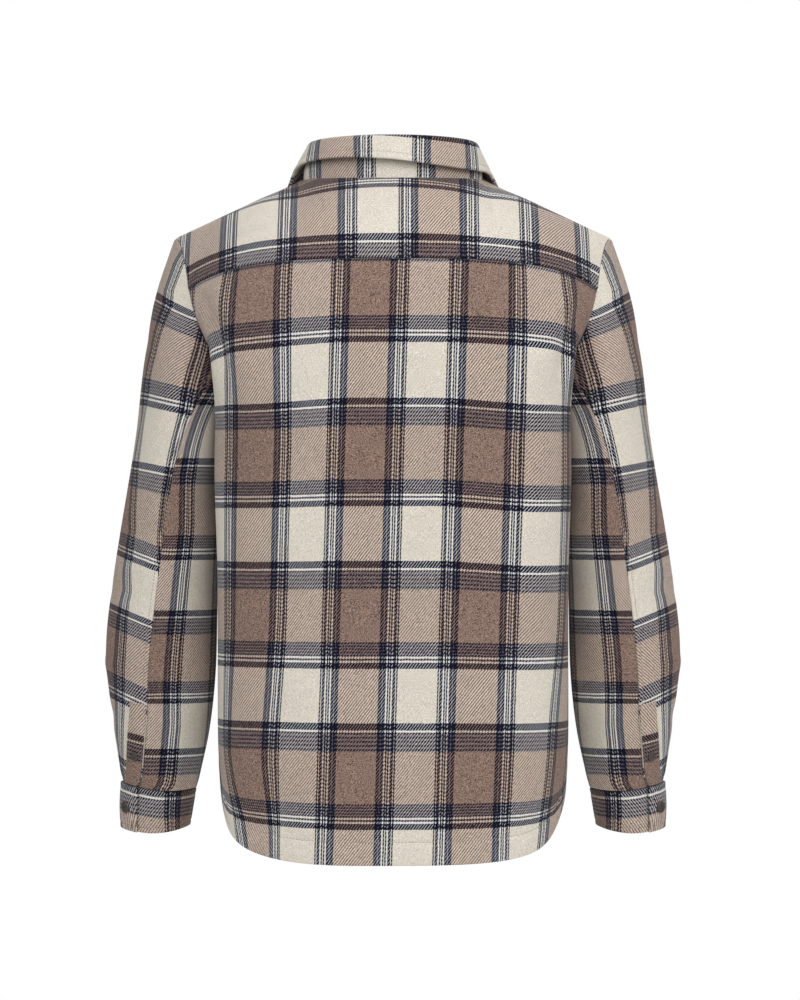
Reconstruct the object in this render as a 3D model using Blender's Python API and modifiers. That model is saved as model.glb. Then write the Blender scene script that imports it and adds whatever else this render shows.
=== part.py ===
"""Lined shirt jacket, worn form with no wearer, as solids at real size.

Metres, +Z up. The back of the jacket faces -Y and its front +Y, so the wearer's left is at -X.
The origin lies between the shoulders, where the wearer's shoulders hold the jacket up.
Every panel of cloth is a grid over a curved surface, and a second skin a cloth's thickness from it.
"""

import math

import bmesh
import bpy
import numpy as np
from mathutils import Vector

# Cloth and seams
CLOTH = 0.003
PLACKET_CLOTH = 0.0025
COLLAR_CLOTH = 0.0035
CUFF_CLOTH = 0.0035
SEAM_GAP = 0.0003
ARMHOLE_GAP = 0.0022

# Body, hem to underarm: inner side of the cloth. One row for each level, all round the body.
# side_*: the side seam. back_* and front_*: the middle of the back and of the front.
# spread: how much wider the back stands than the side, where the sleeve presses the side in.
BODY_COLUMNS = ("side_x", "side_z", "back_y", "back_z", "front_y", "front_z", "spread")
BODY_LEVELS = {
    "hem": (0.1865, -0.621, -0.125, -0.711, 0.119, -0.690, 0.00),
    "seat": (0.1885, -0.575, -0.128, -0.620, 0.121, -0.607, 0.03),
    "hip": (0.1865, -0.505, -0.130, -0.523, 0.122, -0.518, 0.08),
    "waist": (0.1810, -0.415, -0.133, -0.418, 0.124, -0.417, 0.17),
    "chest": (0.1750, -0.315, -0.137, -0.315, 0.126, -0.315, 0.26),
    "underarm": (0.1690, -0.228, -0.140, -0.228, 0.125, -0.228, 0.33),
}
BACK_SQUARENESS = 2.8
FRONT_SQUARENESS = 2.5

# Back above the underarm, up to the yoke seam. armhole_*: where the row ends at the armhole.
# turn: how far the row has turned to the side when it ends there, as a share of a right angle.
UPPER_BACK_COLUMNS = (
    "armhole_x", "armhole_y", "armhole_z", "back_y", "back_z", "spread", "squareness", "turn",
)
UPPER_BACK_LEVELS = {
    "blade": (0.1830, -0.050, -0.182, -0.1415, -0.155, 0.21, 2.6, 0.98),
    "upper": (0.2105, -0.064, -0.123, -0.1370, -0.103, 0.04, 2.2, 0.84),
    "yoke_seam": (0.2205, -0.046, -0.090, -0.1280, -0.060, 0.00, 2.0, 0.70),
}

# Soft upright fold that the back makes beside each armhole, and the hang of the lower back
ARMHOLE_FOLD_DEPTH = 0.004
ARMHOLE_FOLD_AT = 0.80
ARMHOLE_FOLD_WIDTH = 0.09
HANG_DEPTH = 0.003
HANG_WAVES = 3.5

# Neck and shoulders, inner side of the cloth
NECK_HALF_WIDTH = 0.098
NECK_BACK_Y = -0.067
NECK_BACK_Z = 0.0285
NECK_SIDE_Z = 0.0300
SHOULDER_POINT = (0.238, 0.005, -0.0335)
SHOULDER_ARCH = 0.0002
FRONT_SEAM_NECK = (0.100, 0.028, 0.0180)
FRONT_SEAM_SHOULDER = (0.2365, 0.030, -0.0500)
NECK_FRONT = (0.0, 0.076, -0.055)
FRONT_ARMHOLE_PULL = 0.109
YOKE_NECK_SHARE = 0.45
FRONT_NECK_SHARE = 0.44

# Fronts close left over right: how far each runs past the middle, and the step of the upper one
OVERLAP_SHARE = 0.032
STEP_FULL_X = 0.019
STEP_END_X = 0.050
STEP_GAP = 0.0006

# Collar
STAND_HEIGHT_BACK = 0.044
STAND_HEIGHT_FRONT = 0.032
STAND_LEAN = 0.90
STAND_SINK = 0.001
STAND_INSET = 0.0010
STAND_END = 0.997
COLLAR_SKEW = 0.0052
LEAF_END = 0.945
# Roll of the collar leaf over the top of the stand: away from it and up, inner side
LEAF_ROLL = ((-0.0015, 0.0014), (0.0005, 0.0034), (0.0035, 0.0026))
LEAF_START = (0.0050, -0.0005)
# Collar leaf round the neck from the middle of the back (0) to the front (1)
LEAF_COLUMNS = ("along", "fall", "flare")
LEAF_LEVELS = {
    "back": (0.00, 0.0212, 0.0075),
    "shoulder": (0.38, 0.0243, 0.0105),
    "side": (0.52, 0.0360, 0.0245),
    "front": (0.66, 0.043, 0.040),
    "point": (1.00, 0.060, 0.048),
}

# Sleeve, outer side of the cloth, armhole to wrist, as on the wearer's right (+X).
# out and inn: the sides away from and towards the body. drop: how far front and back hang lower.
SLEEVE_COLUMNS = ("out_x", "inn_x", "out_z", "inn_z", "middle_y", "half_depth", "drop")
SLEEVE_LEVELS = {
    "biceps": (0.2700, 0.1865, -0.145, -0.268, 0.010, 0.080, 0.000),
    "upper_arm": (0.2845, 0.1900, -0.255, -0.318, 0.016, 0.076, 0.000),
    "elbow": (0.3060, 0.1935, -0.385, -0.415, 0.022, 0.069, 0.000),
    "forearm": (0.3172, 0.1958, -0.478, -0.505, 0.027, 0.063, 0.000),
    "low_arm": (0.3115, 0.2030, -0.552, -0.572, 0.031, 0.057, 0.002),
    "gather": (0.3020, 0.2143, -0.613, -0.624, 0.034, 0.050, 0.004),
    "wrist": (0.2990, 0.2178, -0.6290, -0.6370, 0.035, 0.047, 0.005),
}
WRIST_ROW = len(SLEEVE_LEVELS)
CAP_BULGE = 0.004
SLEEVE_MIDDLE = (0.255, 0.030)
# Turn of the hind seam round the sleeve, in degrees: 0 out, 90 front, 180 in, 270 back
HIND_SEAM = ((0.0, 236.0), (2.0, 272.0), (5.0, 283.0), (7.0, 303.0))
FORE_SEAM_DEGREES = 160.0

# Cuff, outer side of the cloth, with the columns of the sleeve
CUFF_LEVELS = {
    "top": (0.2992, 0.2176, -0.6295, -0.6375, 0.035, 0.0475, 0.005),
    "middle": (0.3005, 0.2210, -0.6550, -0.6580, 0.036, 0.0465, 0.006),
    "bottom": (0.2995, 0.2246, -0.6800, -0.6790, 0.037, 0.0450, 0.006),
}
CUFF_EDGE_DEGREES = 300.0
CUFF_OVERLAP_DEGREES = 28.0
CUFF_EASE_DEGREES = (30.0, 80.0)

# Sleeve placket: rows of the sleeve that it spans, and its width in degrees at top and bottom
PLACKET_ROWS = (4.72, 6.93)
PLACKET_DEGREES = (20.0, 33.0)
PLACKET_LIFT = 0.0005

# Press studs
STUD_RADIUS = 0.0065
PLACKET_STUD_RADIUS = 0.0048
STUD_HEIGHT = 0.0022
STUD_STEPS = 16
STUD_LIFT = 0.0003
PLACKET_STUD_ROW = 5.62
PLACKET_STUD_SHARE = 0.42
CUFF_STUD_DEGREES = 320.0
CUFF_STUD_ROW = 0.95
FRONT_STUDS = 6
FRONT_STUD_TOP_Z = -0.105
FRONT_STUD_STEP = 0.098

# Grid sizes
BACK_COLUMNS, BACK_LOWER_ROWS, BACK_UPPER_ROWS = 24, 10, 9
YOKE_COLUMNS, YOKE_ROWS, YOKE_FRONT_ROWS = 26, 6, 2
FRONT_COLUMNS, FRONT_LOWER_ROWS, FRONT_UPPER_ROWS = 12, 10, 8
SLEEVE_ROWS, TOP_SLEEVE_COLUMNS, UNDER_SLEEVE_COLUMNS = 18, 18, 8
CUFF_COLUMNS, CUFF_ROWS = 26, 3
COLLAR_COLUMNS, STAND_ROWS, LEAF_ROWS = 28, 3, 4
PLACKET_COLUMNS, PLACKET_GRID_ROWS = 3, 8
LINE_SAMPLES = 64

# Cloth and stud colours, linear
CHECK_BEIGE = (0.36, 0.30, 0.26, 1.0)
STUD_GREY = (0.10, 0.085, 0.075, 1.0)

OTHER_SIDE = np.array([-1.0, 1.0, 1.0])


def clear_scene():
    for obj in list(bpy.data.objects):
        bpy.data.objects.remove(obj)


def make_material(name, colour, roughness, metallic):
    material = bpy.data.materials.new(name)
    material.use_nodes = True
    shader = material.node_tree.nodes["Principled BSDF"]
    shader.inputs["Base Color"].default_value = colour
    shader.inputs["Roughness"].default_value = roughness
    shader.inputs["Metallic"].default_value = metallic
    return material


def smoothstep(low, high, value):
    share = np.clip((value - low) / (high - low), 0.0, 1.0)
    return share * share * (3.0 - 2.0 * share)


def spline(rows, at):
    """Catmull-Rom curve through rows (first axis), read at a fractional row number."""
    last = len(rows) - 1
    first = min(max(int(math.floor(at)), 0), last - 1)
    share = at - first
    start, end = rows[first], rows[first + 1]
    before = rows[first - 1] if first > 0 else 2 * start - end
    after = rows[first + 2] if first + 2 <= last else 2 * end - start
    return 0.5 * (
        2 * start
        + (end - before) * share
        + (2 * before - 5 * start + 4 * end - after) * share**2
        + (3 * start - before - 3 * end + after) * share**3
    )


def bezier(start, pull, end, share):
    return (1 - share) ** 2 * start + 2 * share * (1 - share) * pull + share**2 * end


def unit(vector):
    return vector / np.linalg.norm(vector)


def normal_at(surface, across, level, across_range, level_range, across_step=1e-3, level_step=1e-3):
    """Unit normal of a surface that is a function of two numbers, read just inside its ranges."""
    a = min(max(across, across_range[0] + across_step), across_range[1] - across_step)
    b = min(max(level, level_range[0] + level_step), level_range[1] - level_step)
    along = surface(a + across_step, b) - surface(a - across_step, b)
    up = surface(a, b + level_step) - surface(a, b - level_step)
    return unit(np.cross(along, up))


# Body surface


def level_rows(middle, squareness):
    """Levels of the body below the underarm, with the columns of the upper back."""
    rows = []
    for level in BODY_LEVELS.values():
        size = dict(zip(BODY_COLUMNS, level))
        edge = (size["side_x"], 0.0, size["side_z"])
        rows.append((*edge, size[middle + "_y"], size[middle + "_z"], size["spread"], squareness, 1.0))
    return rows


def front_level_rows():
    """Front levels, and one above the underarm that makes the side seam bend as the back's does."""
    rows = level_rows("front", FRONT_SQUARENESS)
    above = dict(zip(UPPER_BACK_COLUMNS, UPPER_BACK_LEVELS["blade"]))
    edge = (above["armhole_x"], above["armhole_y"], above["armhole_z"])
    return rows + [(*edge, rows[-1][3], above["back_z"], above["spread"], FRONT_SQUARENESS, 1.0)]


BACK_LEVELS = np.array(level_rows("back", BACK_SQUARENESS) + list(UPPER_BACK_LEVELS.values()))
FRONT_LEVELS = np.array(front_level_rows())
UNDERARM_ROW = len(BODY_LEVELS) - 1
YOKE_SEAM_ROW = len(BACK_LEVELS) - 1


def row_point(row, across, spread_curve):
    """A point of one level: across is 0 in the middle and 1 or -1 at the edge."""
    edge_x, edge_y, edge_z, middle_y, middle_z, spread, squareness, turn = row
    side = abs(across)
    power = 2.0 / squareness
    end = turn * math.pi / 2
    inward = max((math.cos(side * end) - math.cos(end)) / (1 - math.cos(end)), 0.0) ** power
    outward = (math.sin(side * end) / math.sin(end)) ** power
    x = edge_x * (1 + spread * spread_curve(inward)) * outward
    y = edge_y + (middle_y - edge_y) * inward
    z = middle_z + (edge_z - middle_z) * side**3
    return np.array([math.copysign(x, across), y, z])


def back_spread(inward):
    return inward


def front_spread(inward):
    return -inward * (1 - inward) ** 3


def back_plain(across, level):
    """Back surface without folds: level counts rows from the hem."""
    return row_point(spline(BACK_LEVELS, level), across, back_spread)


def back_fold(across, level):
    """How far the folds move the back outwards at a place."""
    side = abs(across)
    ridge = math.exp(-(((side - ARMHOLE_FOLD_AT) / ARMHOLE_FOLD_WIDTH) ** 2))
    beside_armhole = smoothstep(3.0, 4.6, level) * (1 - smoothstep(6.2, 7.4, level))
    hang = math.cos(across * HANG_WAVES * math.pi + 0.6) * (1 - side**4)
    low = 1 - smoothstep(0.0, 3.2, level)
    edge_calm = 1 - smoothstep(0.9, 1.0, side)
    return (ARMHOLE_FOLD_DEPTH * ridge * beside_armhole + HANG_DEPTH * hang * low) * edge_calm


def back_point(across, level):
    normal = normal_at(back_plain, across, level, (-1, 1), (0, YOKE_SEAM_ROW))
    return back_plain(across, level) + normal * back_fold(across, level)


# Yoke surface


def ridge_point(across):
    """Back neck, then the top of the shoulder out to the shoulder point."""
    side = abs(across)
    if side <= YOKE_NECK_SHARE:
        turn = side / YOKE_NECK_SHARE * math.pi / 2
        x = NECK_HALF_WIDTH * math.sin(turn)
        y = NECK_BACK_Y * math.cos(turn)
        z = NECK_BACK_Z + (NECK_SIDE_Z - NECK_BACK_Z) * math.sin(turn) ** 2
        return np.array([math.copysign(x, across), y, z])
    share = (side - YOKE_NECK_SHARE) / (1 - YOKE_NECK_SHARE)
    neck_side = np.array([NECK_HALF_WIDTH, 0.0, NECK_SIDE_Z])
    point = neck_side + (np.array(SHOULDER_POINT) - neck_side) * share
    point[2] += SHOULDER_ARCH * math.sin(share * math.pi)
    point[0] = math.copysign(point[0], across)
    return point


def yoke_pull(across):
    """Middle point that the yoke's curve from seam to ridge is drawn towards."""
    side = abs(across)
    seam = back_plain(across, YOKE_SEAM_ROW)
    ridge = ridge_point(across)
    rise = 0.60 + 0.40 * smoothstep(YOKE_NECK_SHARE - 0.15, YOKE_NECK_SHARE + 0.2, side)
    forward = 0.20 + 0.42 * side**2
    pull = 0.5 * (seam + ridge)
    pull[1] = seam[1] + forward * (ridge[1] - seam[1])
    pull[2] = seam[2] + rise * (ridge[2] - seam[2])
    return pull


def front_seam_point(share):
    """Front shoulder seam on +X, from the neck (0) to the armhole (1)."""
    return np.array(FRONT_SEAM_NECK) * (1 - share) + np.array(FRONT_SEAM_SHOULDER) * share


def yoke_point(across, level):
    """Yoke surface: level 0 at the yoke seam, 1 on the neck or ridge, 2 at the front seam."""
    ridge = ridge_point(across)
    pull = yoke_pull(across)
    if level <= 1:
        return bezier(back_plain(across, YOKE_SEAM_ROW), pull, ridge, level)
    share = (abs(across) - YOKE_NECK_SHARE) / (1 - YOKE_NECK_SHARE)
    end = front_seam_point(max(share, 0.0))
    end[0] = math.copysign(end[0], across)
    over = 0.5 * (ridge + end)
    over[2] = ridge[2] + 0.12 * (ridge[2] - pull[2])
    return bezier(ridge, over, end, level - 1)


# Front surface, as on +X


def front_lower_point(across, level):
    return row_point(spline(FRONT_LEVELS, level), across, front_spread)


def front_top_point(across):
    """Front neck, then the front shoulder seam."""
    side = abs(across)
    if side > FRONT_NECK_SHARE:
        return front_seam_point((side - FRONT_NECK_SHARE) / (1 - FRONT_NECK_SHARE))
    turn = side / FRONT_NECK_SHARE * math.pi / 2
    neck, corner = np.array(NECK_FRONT), np.array(FRONT_SEAM_NECK)
    x = math.copysign(corner[0] * math.sin(turn), across)
    y = corner[1] + (neck[1] - corner[1]) * math.cos(turn)
    z = neck[2] + (corner[2] - neck[2]) * (1 - math.cos(turn))
    return np.array([x, y, z])


def front_point(across, level):
    """Front surface: level 0 to 1 below the underarm, 1 to 2 above it."""
    if level <= 1:
        return front_lower_point(across, level * UNDERARM_ROW)
    low = front_lower_point(across, UNDERARM_ROW)
    top = front_top_point(across)
    pull = 0.5 * (low + top)
    pull[1] = low[1] + FRONT_ARMHOLE_PULL * across**6
    pull[2] = low[2] + 0.6 * (top[2] - low[2])
    return bezier(low, pull, top, level - 1)


# Grids of points


class Skin:
    """A grid of points over a surface, and the unit normals that face out of the jacket there."""

    def __init__(self, points, normals):
        self.points = points
        self.normals = normals

    def moved(self, distance):
        return self.points + self.normals * distance

    def mirrored(self):
        return Skin((self.points * OTHER_SIDE)[:, ::-1], (self.normals * OTHER_SIDE)[:, ::-1])

    def drawn_in(self, sides, gap=SEAM_GAP / 2):
        """The grid with the named edges pulled in along the cloth, which leaves the seam gap."""
        edges = {
            "bottom": (np.s_[0], np.s_[1]),
            "top": (np.s_[-1], np.s_[-2]),
            "first": (np.s_[:, 0], np.s_[:, 1]),
            "last": (np.s_[:, -1], np.s_[:, -2]),
        }
        points = self.points.copy()
        for side in sides:
            edge, inner = edges[side]
            inward = self.points[inner] - self.points[edge]
            inward /= np.linalg.norm(inward, axis=-1, keepdims=True)
            points[edge] += inward * gap
        return Skin(points, self.normals)

    def read(self, row, column):
        """Place and normal between the points of the grid."""
        place = spline(np.array([spline(line, column) for line in self.points]), row)
        outward = spline(np.array([spline(line, column) for line in self.normals]), row)
        return place, unit(outward)


def sampled(surface, acrosses, levels, across_range, level_range, facing=1, across_step=1e-3):
    """Skin over a surface. facing is -1 where across and level turn its normals inwards."""
    points = np.array([[surface(a, b) for a in acrosses] for b in levels])
    normals = [
        [normal_at(surface, a, b, across_range, level_range, across_step) for a in acrosses]
        for b in levels
    ]
    return Skin(points, np.array(normals) * facing)


def from_points(points, middle):
    """Skin over bare points, with normals by differences, facing away from a middle point."""
    normals = np.cross(np.gradient(points, axis=1), np.gradient(points, axis=0))
    normals /= np.linalg.norm(normals, axis=2, keepdims=True)
    row, column = points.shape[0] // 2, points.shape[1] // 2
    away = points[row, column] - np.array(middle)
    return Skin(points, normals * math.copysign(1.0, float(np.dot(normals[row, column], away))))


def joined(*parts):
    """Numbers of several runs in one row, without the repeats where they meet."""
    return np.concatenate([parts[0]] + [part[1:] for part in parts[1:]])


def resampled(line, count=LINE_SAMPLES):
    """Points evenly spaced along a line."""
    return resampled_pair(line, line, count)[0]


def resampled_pair(line, beside, count=LINE_SAMPLES):
    """Points evenly spaced along a line, and the points of a second line that belong to them."""
    steps = np.linalg.norm(np.diff(line, axis=0), axis=1)
    lengths = np.concatenate([[0], np.cumsum(steps)])
    places = np.linspace(0, lengths[-1], count)
    return [
        np.stack([np.interp(places, lengths, points[:, k]) for k in range(3)], axis=1)
        for points in (line, beside)
    ]


def make_panel(name, skin, thickness, material, collection, keep=None):
    """Cloth between a grid and the same grid moved along its normals, by plus or minus a thickness."""
    rows, columns = skin.points.shape[:2]
    sheet = bmesh.new()
    bmesh.ops.create_grid(sheet, x_segments=columns - 1, y_segments=rows - 1, size=1.0)
    number = sheet.verts.layers.int.new("number")
    for vertex in sheet.verts:
        column = round((vertex.co.x + 1) / 2 * (columns - 1))
        row = round((vertex.co.y + 1) / 2 * (rows - 1))
        vertex[number] = row * columns + column
    if keep is not None:
        cut = []
        for face in sheet.faces:
            numbers = [vertex[number] for vertex in face.verts]
            if not keep(min(numbers) // columns, min(n % columns for n in numbers)):
                cut.append(face)
        bmesh.ops.delete(sheet, geom=cut, context="FACES")
    near = skin.points.reshape(-1, 3)
    far = skin.moved(thickness).reshape(-1, 3)
    for vertex in sheet.verts:
        vertex.co = near[vertex[number]]
    grown = bmesh.ops.extrude_face_region(sheet, geom=sheet.faces[:], use_keep_orig=True)
    for item in grown["geom"]:
        if isinstance(item, bmesh.types.BMVert):
            item.co = far[item[number]]
    bmesh.ops.recalc_face_normals(sheet, faces=sheet.faces[:])
    mesh = bpy.data.meshes.new(name)
    sheet.to_mesh(mesh)
    sheet.free()
    mesh.materials.append(material)
    panel = bpy.data.objects.new(name, mesh)
    collection.objects.link(panel)
    return panel


# Panels of the body


def back_skin():
    levels = joined(
        np.linspace(0, UNDERARM_ROW, BACK_LOWER_ROWS + 1),
        np.linspace(UNDERARM_ROW, YOKE_SEAM_ROW, BACK_UPPER_ROWS + 1),
    )
    acrosses = np.linspace(-1, 1, BACK_COLUMNS + 1)
    return sampled(back_point, acrosses, levels, (-1, 1), (0, YOKE_SEAM_ROW))


def yoke_acrosses():
    """Columns of the yoke, with one where the neck meets the ridge on each side."""
    half = YOKE_COLUMNS // 2
    inner = round(half * YOKE_NECK_SHARE)
    side = joined(
        np.linspace(0, YOKE_NECK_SHARE, inner + 1), np.linspace(YOKE_NECK_SHARE, 1, half - inner + 1)
    )
    return joined(-side[::-1], side)


def yoke_normal(across, level):
    """Normal of the yoke, read on the neck's side of its corner or on the shoulder's."""
    if abs(across) < YOKE_NECK_SHARE - 1e-6:
        return normal_at(yoke_point, across, level, (-1, 1), (0, 1))
    shoulder = (YOKE_NECK_SHARE, 1) if across > 0 else (-1, -YOKE_NECK_SHARE)
    return normal_at(yoke_point, across, level, shoulder, (0, 2))


def yoke_skin():
    levels = joined(np.linspace(0, 1, YOKE_ROWS + 1), np.linspace(1, 2, YOKE_FRONT_ROWS + 1))
    acrosses = yoke_acrosses()
    points = np.array([[yoke_point(a, b) for a in acrosses] for b in levels])
    return Skin(points, np.array([[yoke_normal(a, b) for a in acrosses] for b in levels]))


def front_skin():
    """Right front, from its overlap past the middle to the side seam."""
    inner = round(FRONT_COLUMNS * FRONT_NECK_SHARE)
    acrosses = joined(
        np.array([-OVERLAP_SHARE, 0.0, OVERLAP_SHARE]),
        np.linspace(OVERLAP_SHARE, FRONT_NECK_SHARE, inner),
        np.linspace(FRONT_NECK_SHARE, 1, FRONT_COLUMNS - inner + 1),
    )
    levels = joined(np.linspace(0, 1, FRONT_LOWER_ROWS + 1), np.linspace(1, 2, FRONT_UPPER_ROWS + 1))
    return sampled(front_point, acrosses, levels, (-1, 1), (0, 2), facing=-1)


def stepped(skin):
    """The upper front, stepped out over the lower one along the closing edge."""
    step = 1 - smoothstep(STEP_FULL_X, STEP_END_X, skin.points[:, :, 0])
    lift = step[:, :, None] * (CLOTH + STEP_GAP)
    return Skin(skin.points + skin.normals * lift, skin.normals)


def make_body(cloth, collection):
    """Back, yoke and fronts. Returns their skins for what is set into or onto them."""
    back, yoke, front = back_skin(), yoke_skin(), front_skin()
    acrosses = yoke_acrosses()

    def beside_neck(row, column):
        middle = 0.5 * (acrosses[column] + acrosses[column + 1])
        return row < YOKE_ROWS or abs(middle) > YOKE_NECK_SHARE

    upper_front = stepped(front).mirrored()
    make_panel("back", back.drawn_in(("first", "last", "top")), CLOTH, cloth, collection)
    make_panel("yoke", yoke.drawn_in(("bottom", "top")), CLOTH, cloth, collection, beside_neck)
    make_panel("front_right", front.drawn_in(("last", "top")), CLOTH, cloth, collection)
    make_panel("front_left", upper_front.drawn_in(("first", "top")), CLOTH, cloth, collection)
    return back, yoke, front, upper_front


def armhole_edge(back, yoke, front):
    """Edge of the cloth round the armhole on +X: shoulder to underarm by the front, then by the back.

    Each half is a row of outer points and a row of points a cloth's thickness out from them.
    """
    halves = []
    for distance in (CLOTH, 2 * CLOTH):
        back_edge = back.moved(distance)[BACK_LOWER_ROWS:, -1]
        yoke_edge = yoke.moved(distance)[:, -1]
        front_edge = front.moved(distance)[FRONT_LOWER_ROWS:, -1]
        halves.append(np.concatenate([yoke_edge[YOKE_ROWS:-1], front_edge[::-1]]))
        halves.append(np.concatenate([back_edge[:-1], yoke_edge[: YOKE_ROWS + 1]]))
    forward, backward, forward_out, backward_out = halves
    return resampled_pair(forward, forward_out), resampled_pair(backward, backward_out)


# Sleeves, as on +X


def ring_point(level, degrees):
    size = dict(zip(SLEEVE_COLUMNS, level))
    out = 0.5 + 0.5 * math.cos(math.radians(degrees))
    depth = math.sin(math.radians(degrees))
    x = size["inn_x"] + (size["out_x"] - size["inn_x"]) * out
    y = size["middle_y"] + size["half_depth"] * depth
    z = size["inn_z"] + (size["out_z"] - size["inn_z"]) * out - size["drop"] * depth**2
    return np.array([x, y, z])


def hind_seam(row):
    rows, degrees = zip(*HIND_SEAM)
    return float(np.interp(row, rows, degrees))


class Sleeve:
    """Outer surface of the sleeve: row counts levels from the armhole, degrees go round it."""

    def __init__(self, armhole):
        (forward, forward_out), (backward, backward_out) = armhole
        edge = joined(forward, backward)
        self.facing = joined(forward_out, backward_out) - edge
        self.edge = edge + np.array([ARMHOLE_GAP, 0.0, 0.0])
        self.turns = joined(np.linspace(0, 180, len(forward)), np.linspace(180, 360, len(backward)))

    def at_edge(self, values, degrees):
        return np.array([np.interp(degrees % 360, self.turns, values[:, k]) for k in range(3)])

    def point(self, degrees, row):
        rings = [self.at_edge(self.edge, degrees)]
        rings += [ring_point(level, degrees) for level in SLEEVE_LEVELS.values()]
        point = spline(np.array(rings), row)
        if 0 < row < 1:
            point[0] += CAP_BULGE * math.sin(math.pi * row) * max(math.cos(math.radians(degrees)), 0.0)
        return point

    def strip(self, first, last, columns, rows):
        """Skin between two seams, each a function that gives degrees for a row."""
        points, normals = [], []
        for row in rows:
            turns = np.linspace(first(row), last(row), columns + 1)
            points.append([self.point(turn, row) for turn in turns])
            normals.append([self.normal(turn, row) for turn in turns])
        return Skin(np.array(points), np.array(normals))

    def normal(self, degrees, row):
        """Outward normal. At the armhole it turns into the body's own, so the edges lie side by side."""
        outward = normal_at(self.point, degrees, row, (-400, 800), (0, WRIST_ROW), 0.5, 2e-3)
        away = self.point(degrees, row) - self.middle(row)
        outward = outward * math.copysign(1.0, float(np.dot(outward, away)))
        body = unit(self.at_edge(self.facing, degrees))
        share = smoothstep(-0.2, 0.5, float(np.dot(outward, body))) * (1 - smoothstep(0.0, 0.45, row))
        return unit(outward * (1 - share) + body * share)

    def middle(self, row):
        return 0.5 * (self.point(0, row) + self.point(180, row))


def cuff_skin():
    """Cuff from its outer end, round the wrist, to its inner end below the outer one."""
    turns = np.linspace(0, 360 + CUFF_OVERLAP_DEGREES, CUFF_COLUMNS + 1)
    levels = np.array(list(CUFF_LEVELS.values()))
    points = []
    for row in np.linspace(0, len(levels) - 1, CUFF_ROWS + 1):
        level = spline(levels, row)
        middle = 0.5 * (ring_point(level, 0) + ring_point(level, 180))
        ring = []
        for turn in turns:
            point = ring_point(level, CUFF_EDGE_DEGREES + turn)
            lift = (CUFF_CLOTH + 2 * SEAM_GAP) * (1 - smoothstep(*CUFF_EASE_DEGREES, turn))
            ring.append(point + unit(point - middle) * lift)
        points.append(ring)
    return from_points(np.array(points), (*SLEEVE_MIDDLE, CUFF_LEVELS["middle"][2]))


def placket_skin(sleeve):
    """Strip laid on the top sleeve along the slit at the hind seam."""
    rows = np.linspace(*PLACKET_ROWS, PLACKET_GRID_ROWS + 1)
    points, normals = [], []
    for row, width in zip(rows, np.linspace(*PLACKET_DEGREES, PLACKET_GRID_ROWS + 1)):
        turns = np.linspace(hind_seam(row) + 0.5, hind_seam(row) + width, PLACKET_COLUMNS + 1)
        normals.append([sleeve.normal(turn, row) for turn in turns])
        points.append([sleeve.point(turn, row) for turn in turns])
    skin = Skin(np.array(points), np.array(normals))
    return Skin(skin.moved(PLACKET_LIFT), skin.normals)


def make_sleeves(armhole, cloth, stud, collection):
    sleeve = Sleeve(armhole)
    rows = np.linspace(0, WRIST_ROW, SLEEVE_ROWS + 1)
    top = sleeve.strip(hind_seam, lambda row: FORE_SEAM_DEGREES + 360, TOP_SLEEVE_COLUMNS, rows)
    under = sleeve.strip(lambda row: FORE_SEAM_DEGREES, hind_seam, UNDER_SLEEVE_COLUMNS, rows)
    cuff, placket = cuff_skin(), placket_skin(sleeve)
    pieces = {
        "sleeve_top": (top.drawn_in(("first", "last", "top"), SEAM_GAP), -CLOTH),
        "sleeve_under": (under.drawn_in(("first", "last", "top"), SEAM_GAP), -CLOTH),
        "cuff": (cuff, -CUFF_CLOTH),
        "sleeve_placket": (placket, PLACKET_CLOTH),
    }
    for name, (skin, thickness) in pieces.items():
        make_panel(name + "_right", skin, thickness, cloth, collection)
        make_panel(name + "_left", skin.mirrored(), thickness, cloth, collection)

    first_row, last_row = PLACKET_ROWS
    placket_row = (PLACKET_STUD_ROW - first_row) / (last_row - first_row) * PLACKET_GRID_ROWS
    place, outward = placket.read(placket_row, PLACKET_STUD_SHARE * PLACKET_COLUMNS)
    place = place + outward * PLACKET_CLOTH
    make_stud_pair("stud_placket", place, outward, PLACKET_STUD_RADIUS, stud, collection)
    cuff_column = (CUFF_STUD_DEGREES - CUFF_EDGE_DEGREES) / (360 + CUFF_OVERLAP_DEGREES) * CUFF_COLUMNS
    place, outward = cuff.read(CUFF_STUD_ROW / (len(CUFF_LEVELS) - 1) * CUFF_ROWS, cuff_column)
    make_stud_pair("stud_cuff", place, outward, STUD_RADIUS, stud, collection)


# Collar


def neck_line():
    """Neck edge from the middle of the back to the middle of the front, on +X."""
    back = [ridge_point(a) for a in np.linspace(0, YOKE_NECK_SHARE, 12)]
    front = [front_top_point(a) for a in np.linspace(FRONT_NECK_SHARE, 0, 14)]
    return resampled(np.array(back + front))


def stand_point(line, along, up):
    """Outer side of the collar stand: along runs -1 to 1 round the neck, up 0 to 1 from its seam."""
    at = abs(along) * (len(line) - 1)
    base = spline(line, at)
    towards_back = math.cos(along * math.pi / 2) ** 3
    height = STAND_HEIGHT_FRONT + (STAND_HEIGHT_BACK - STAND_HEIGHT_FRONT) * towards_back
    draw_in = (1 - (1 - STAND_LEAN) * up) * (1 - STAND_INSET / NECK_HALF_WIDTH)
    x = math.copysign(base[0] * draw_in, along)
    return np.array([x, base[1] * draw_in, base[2] - STAND_SINK + height * up])


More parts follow.
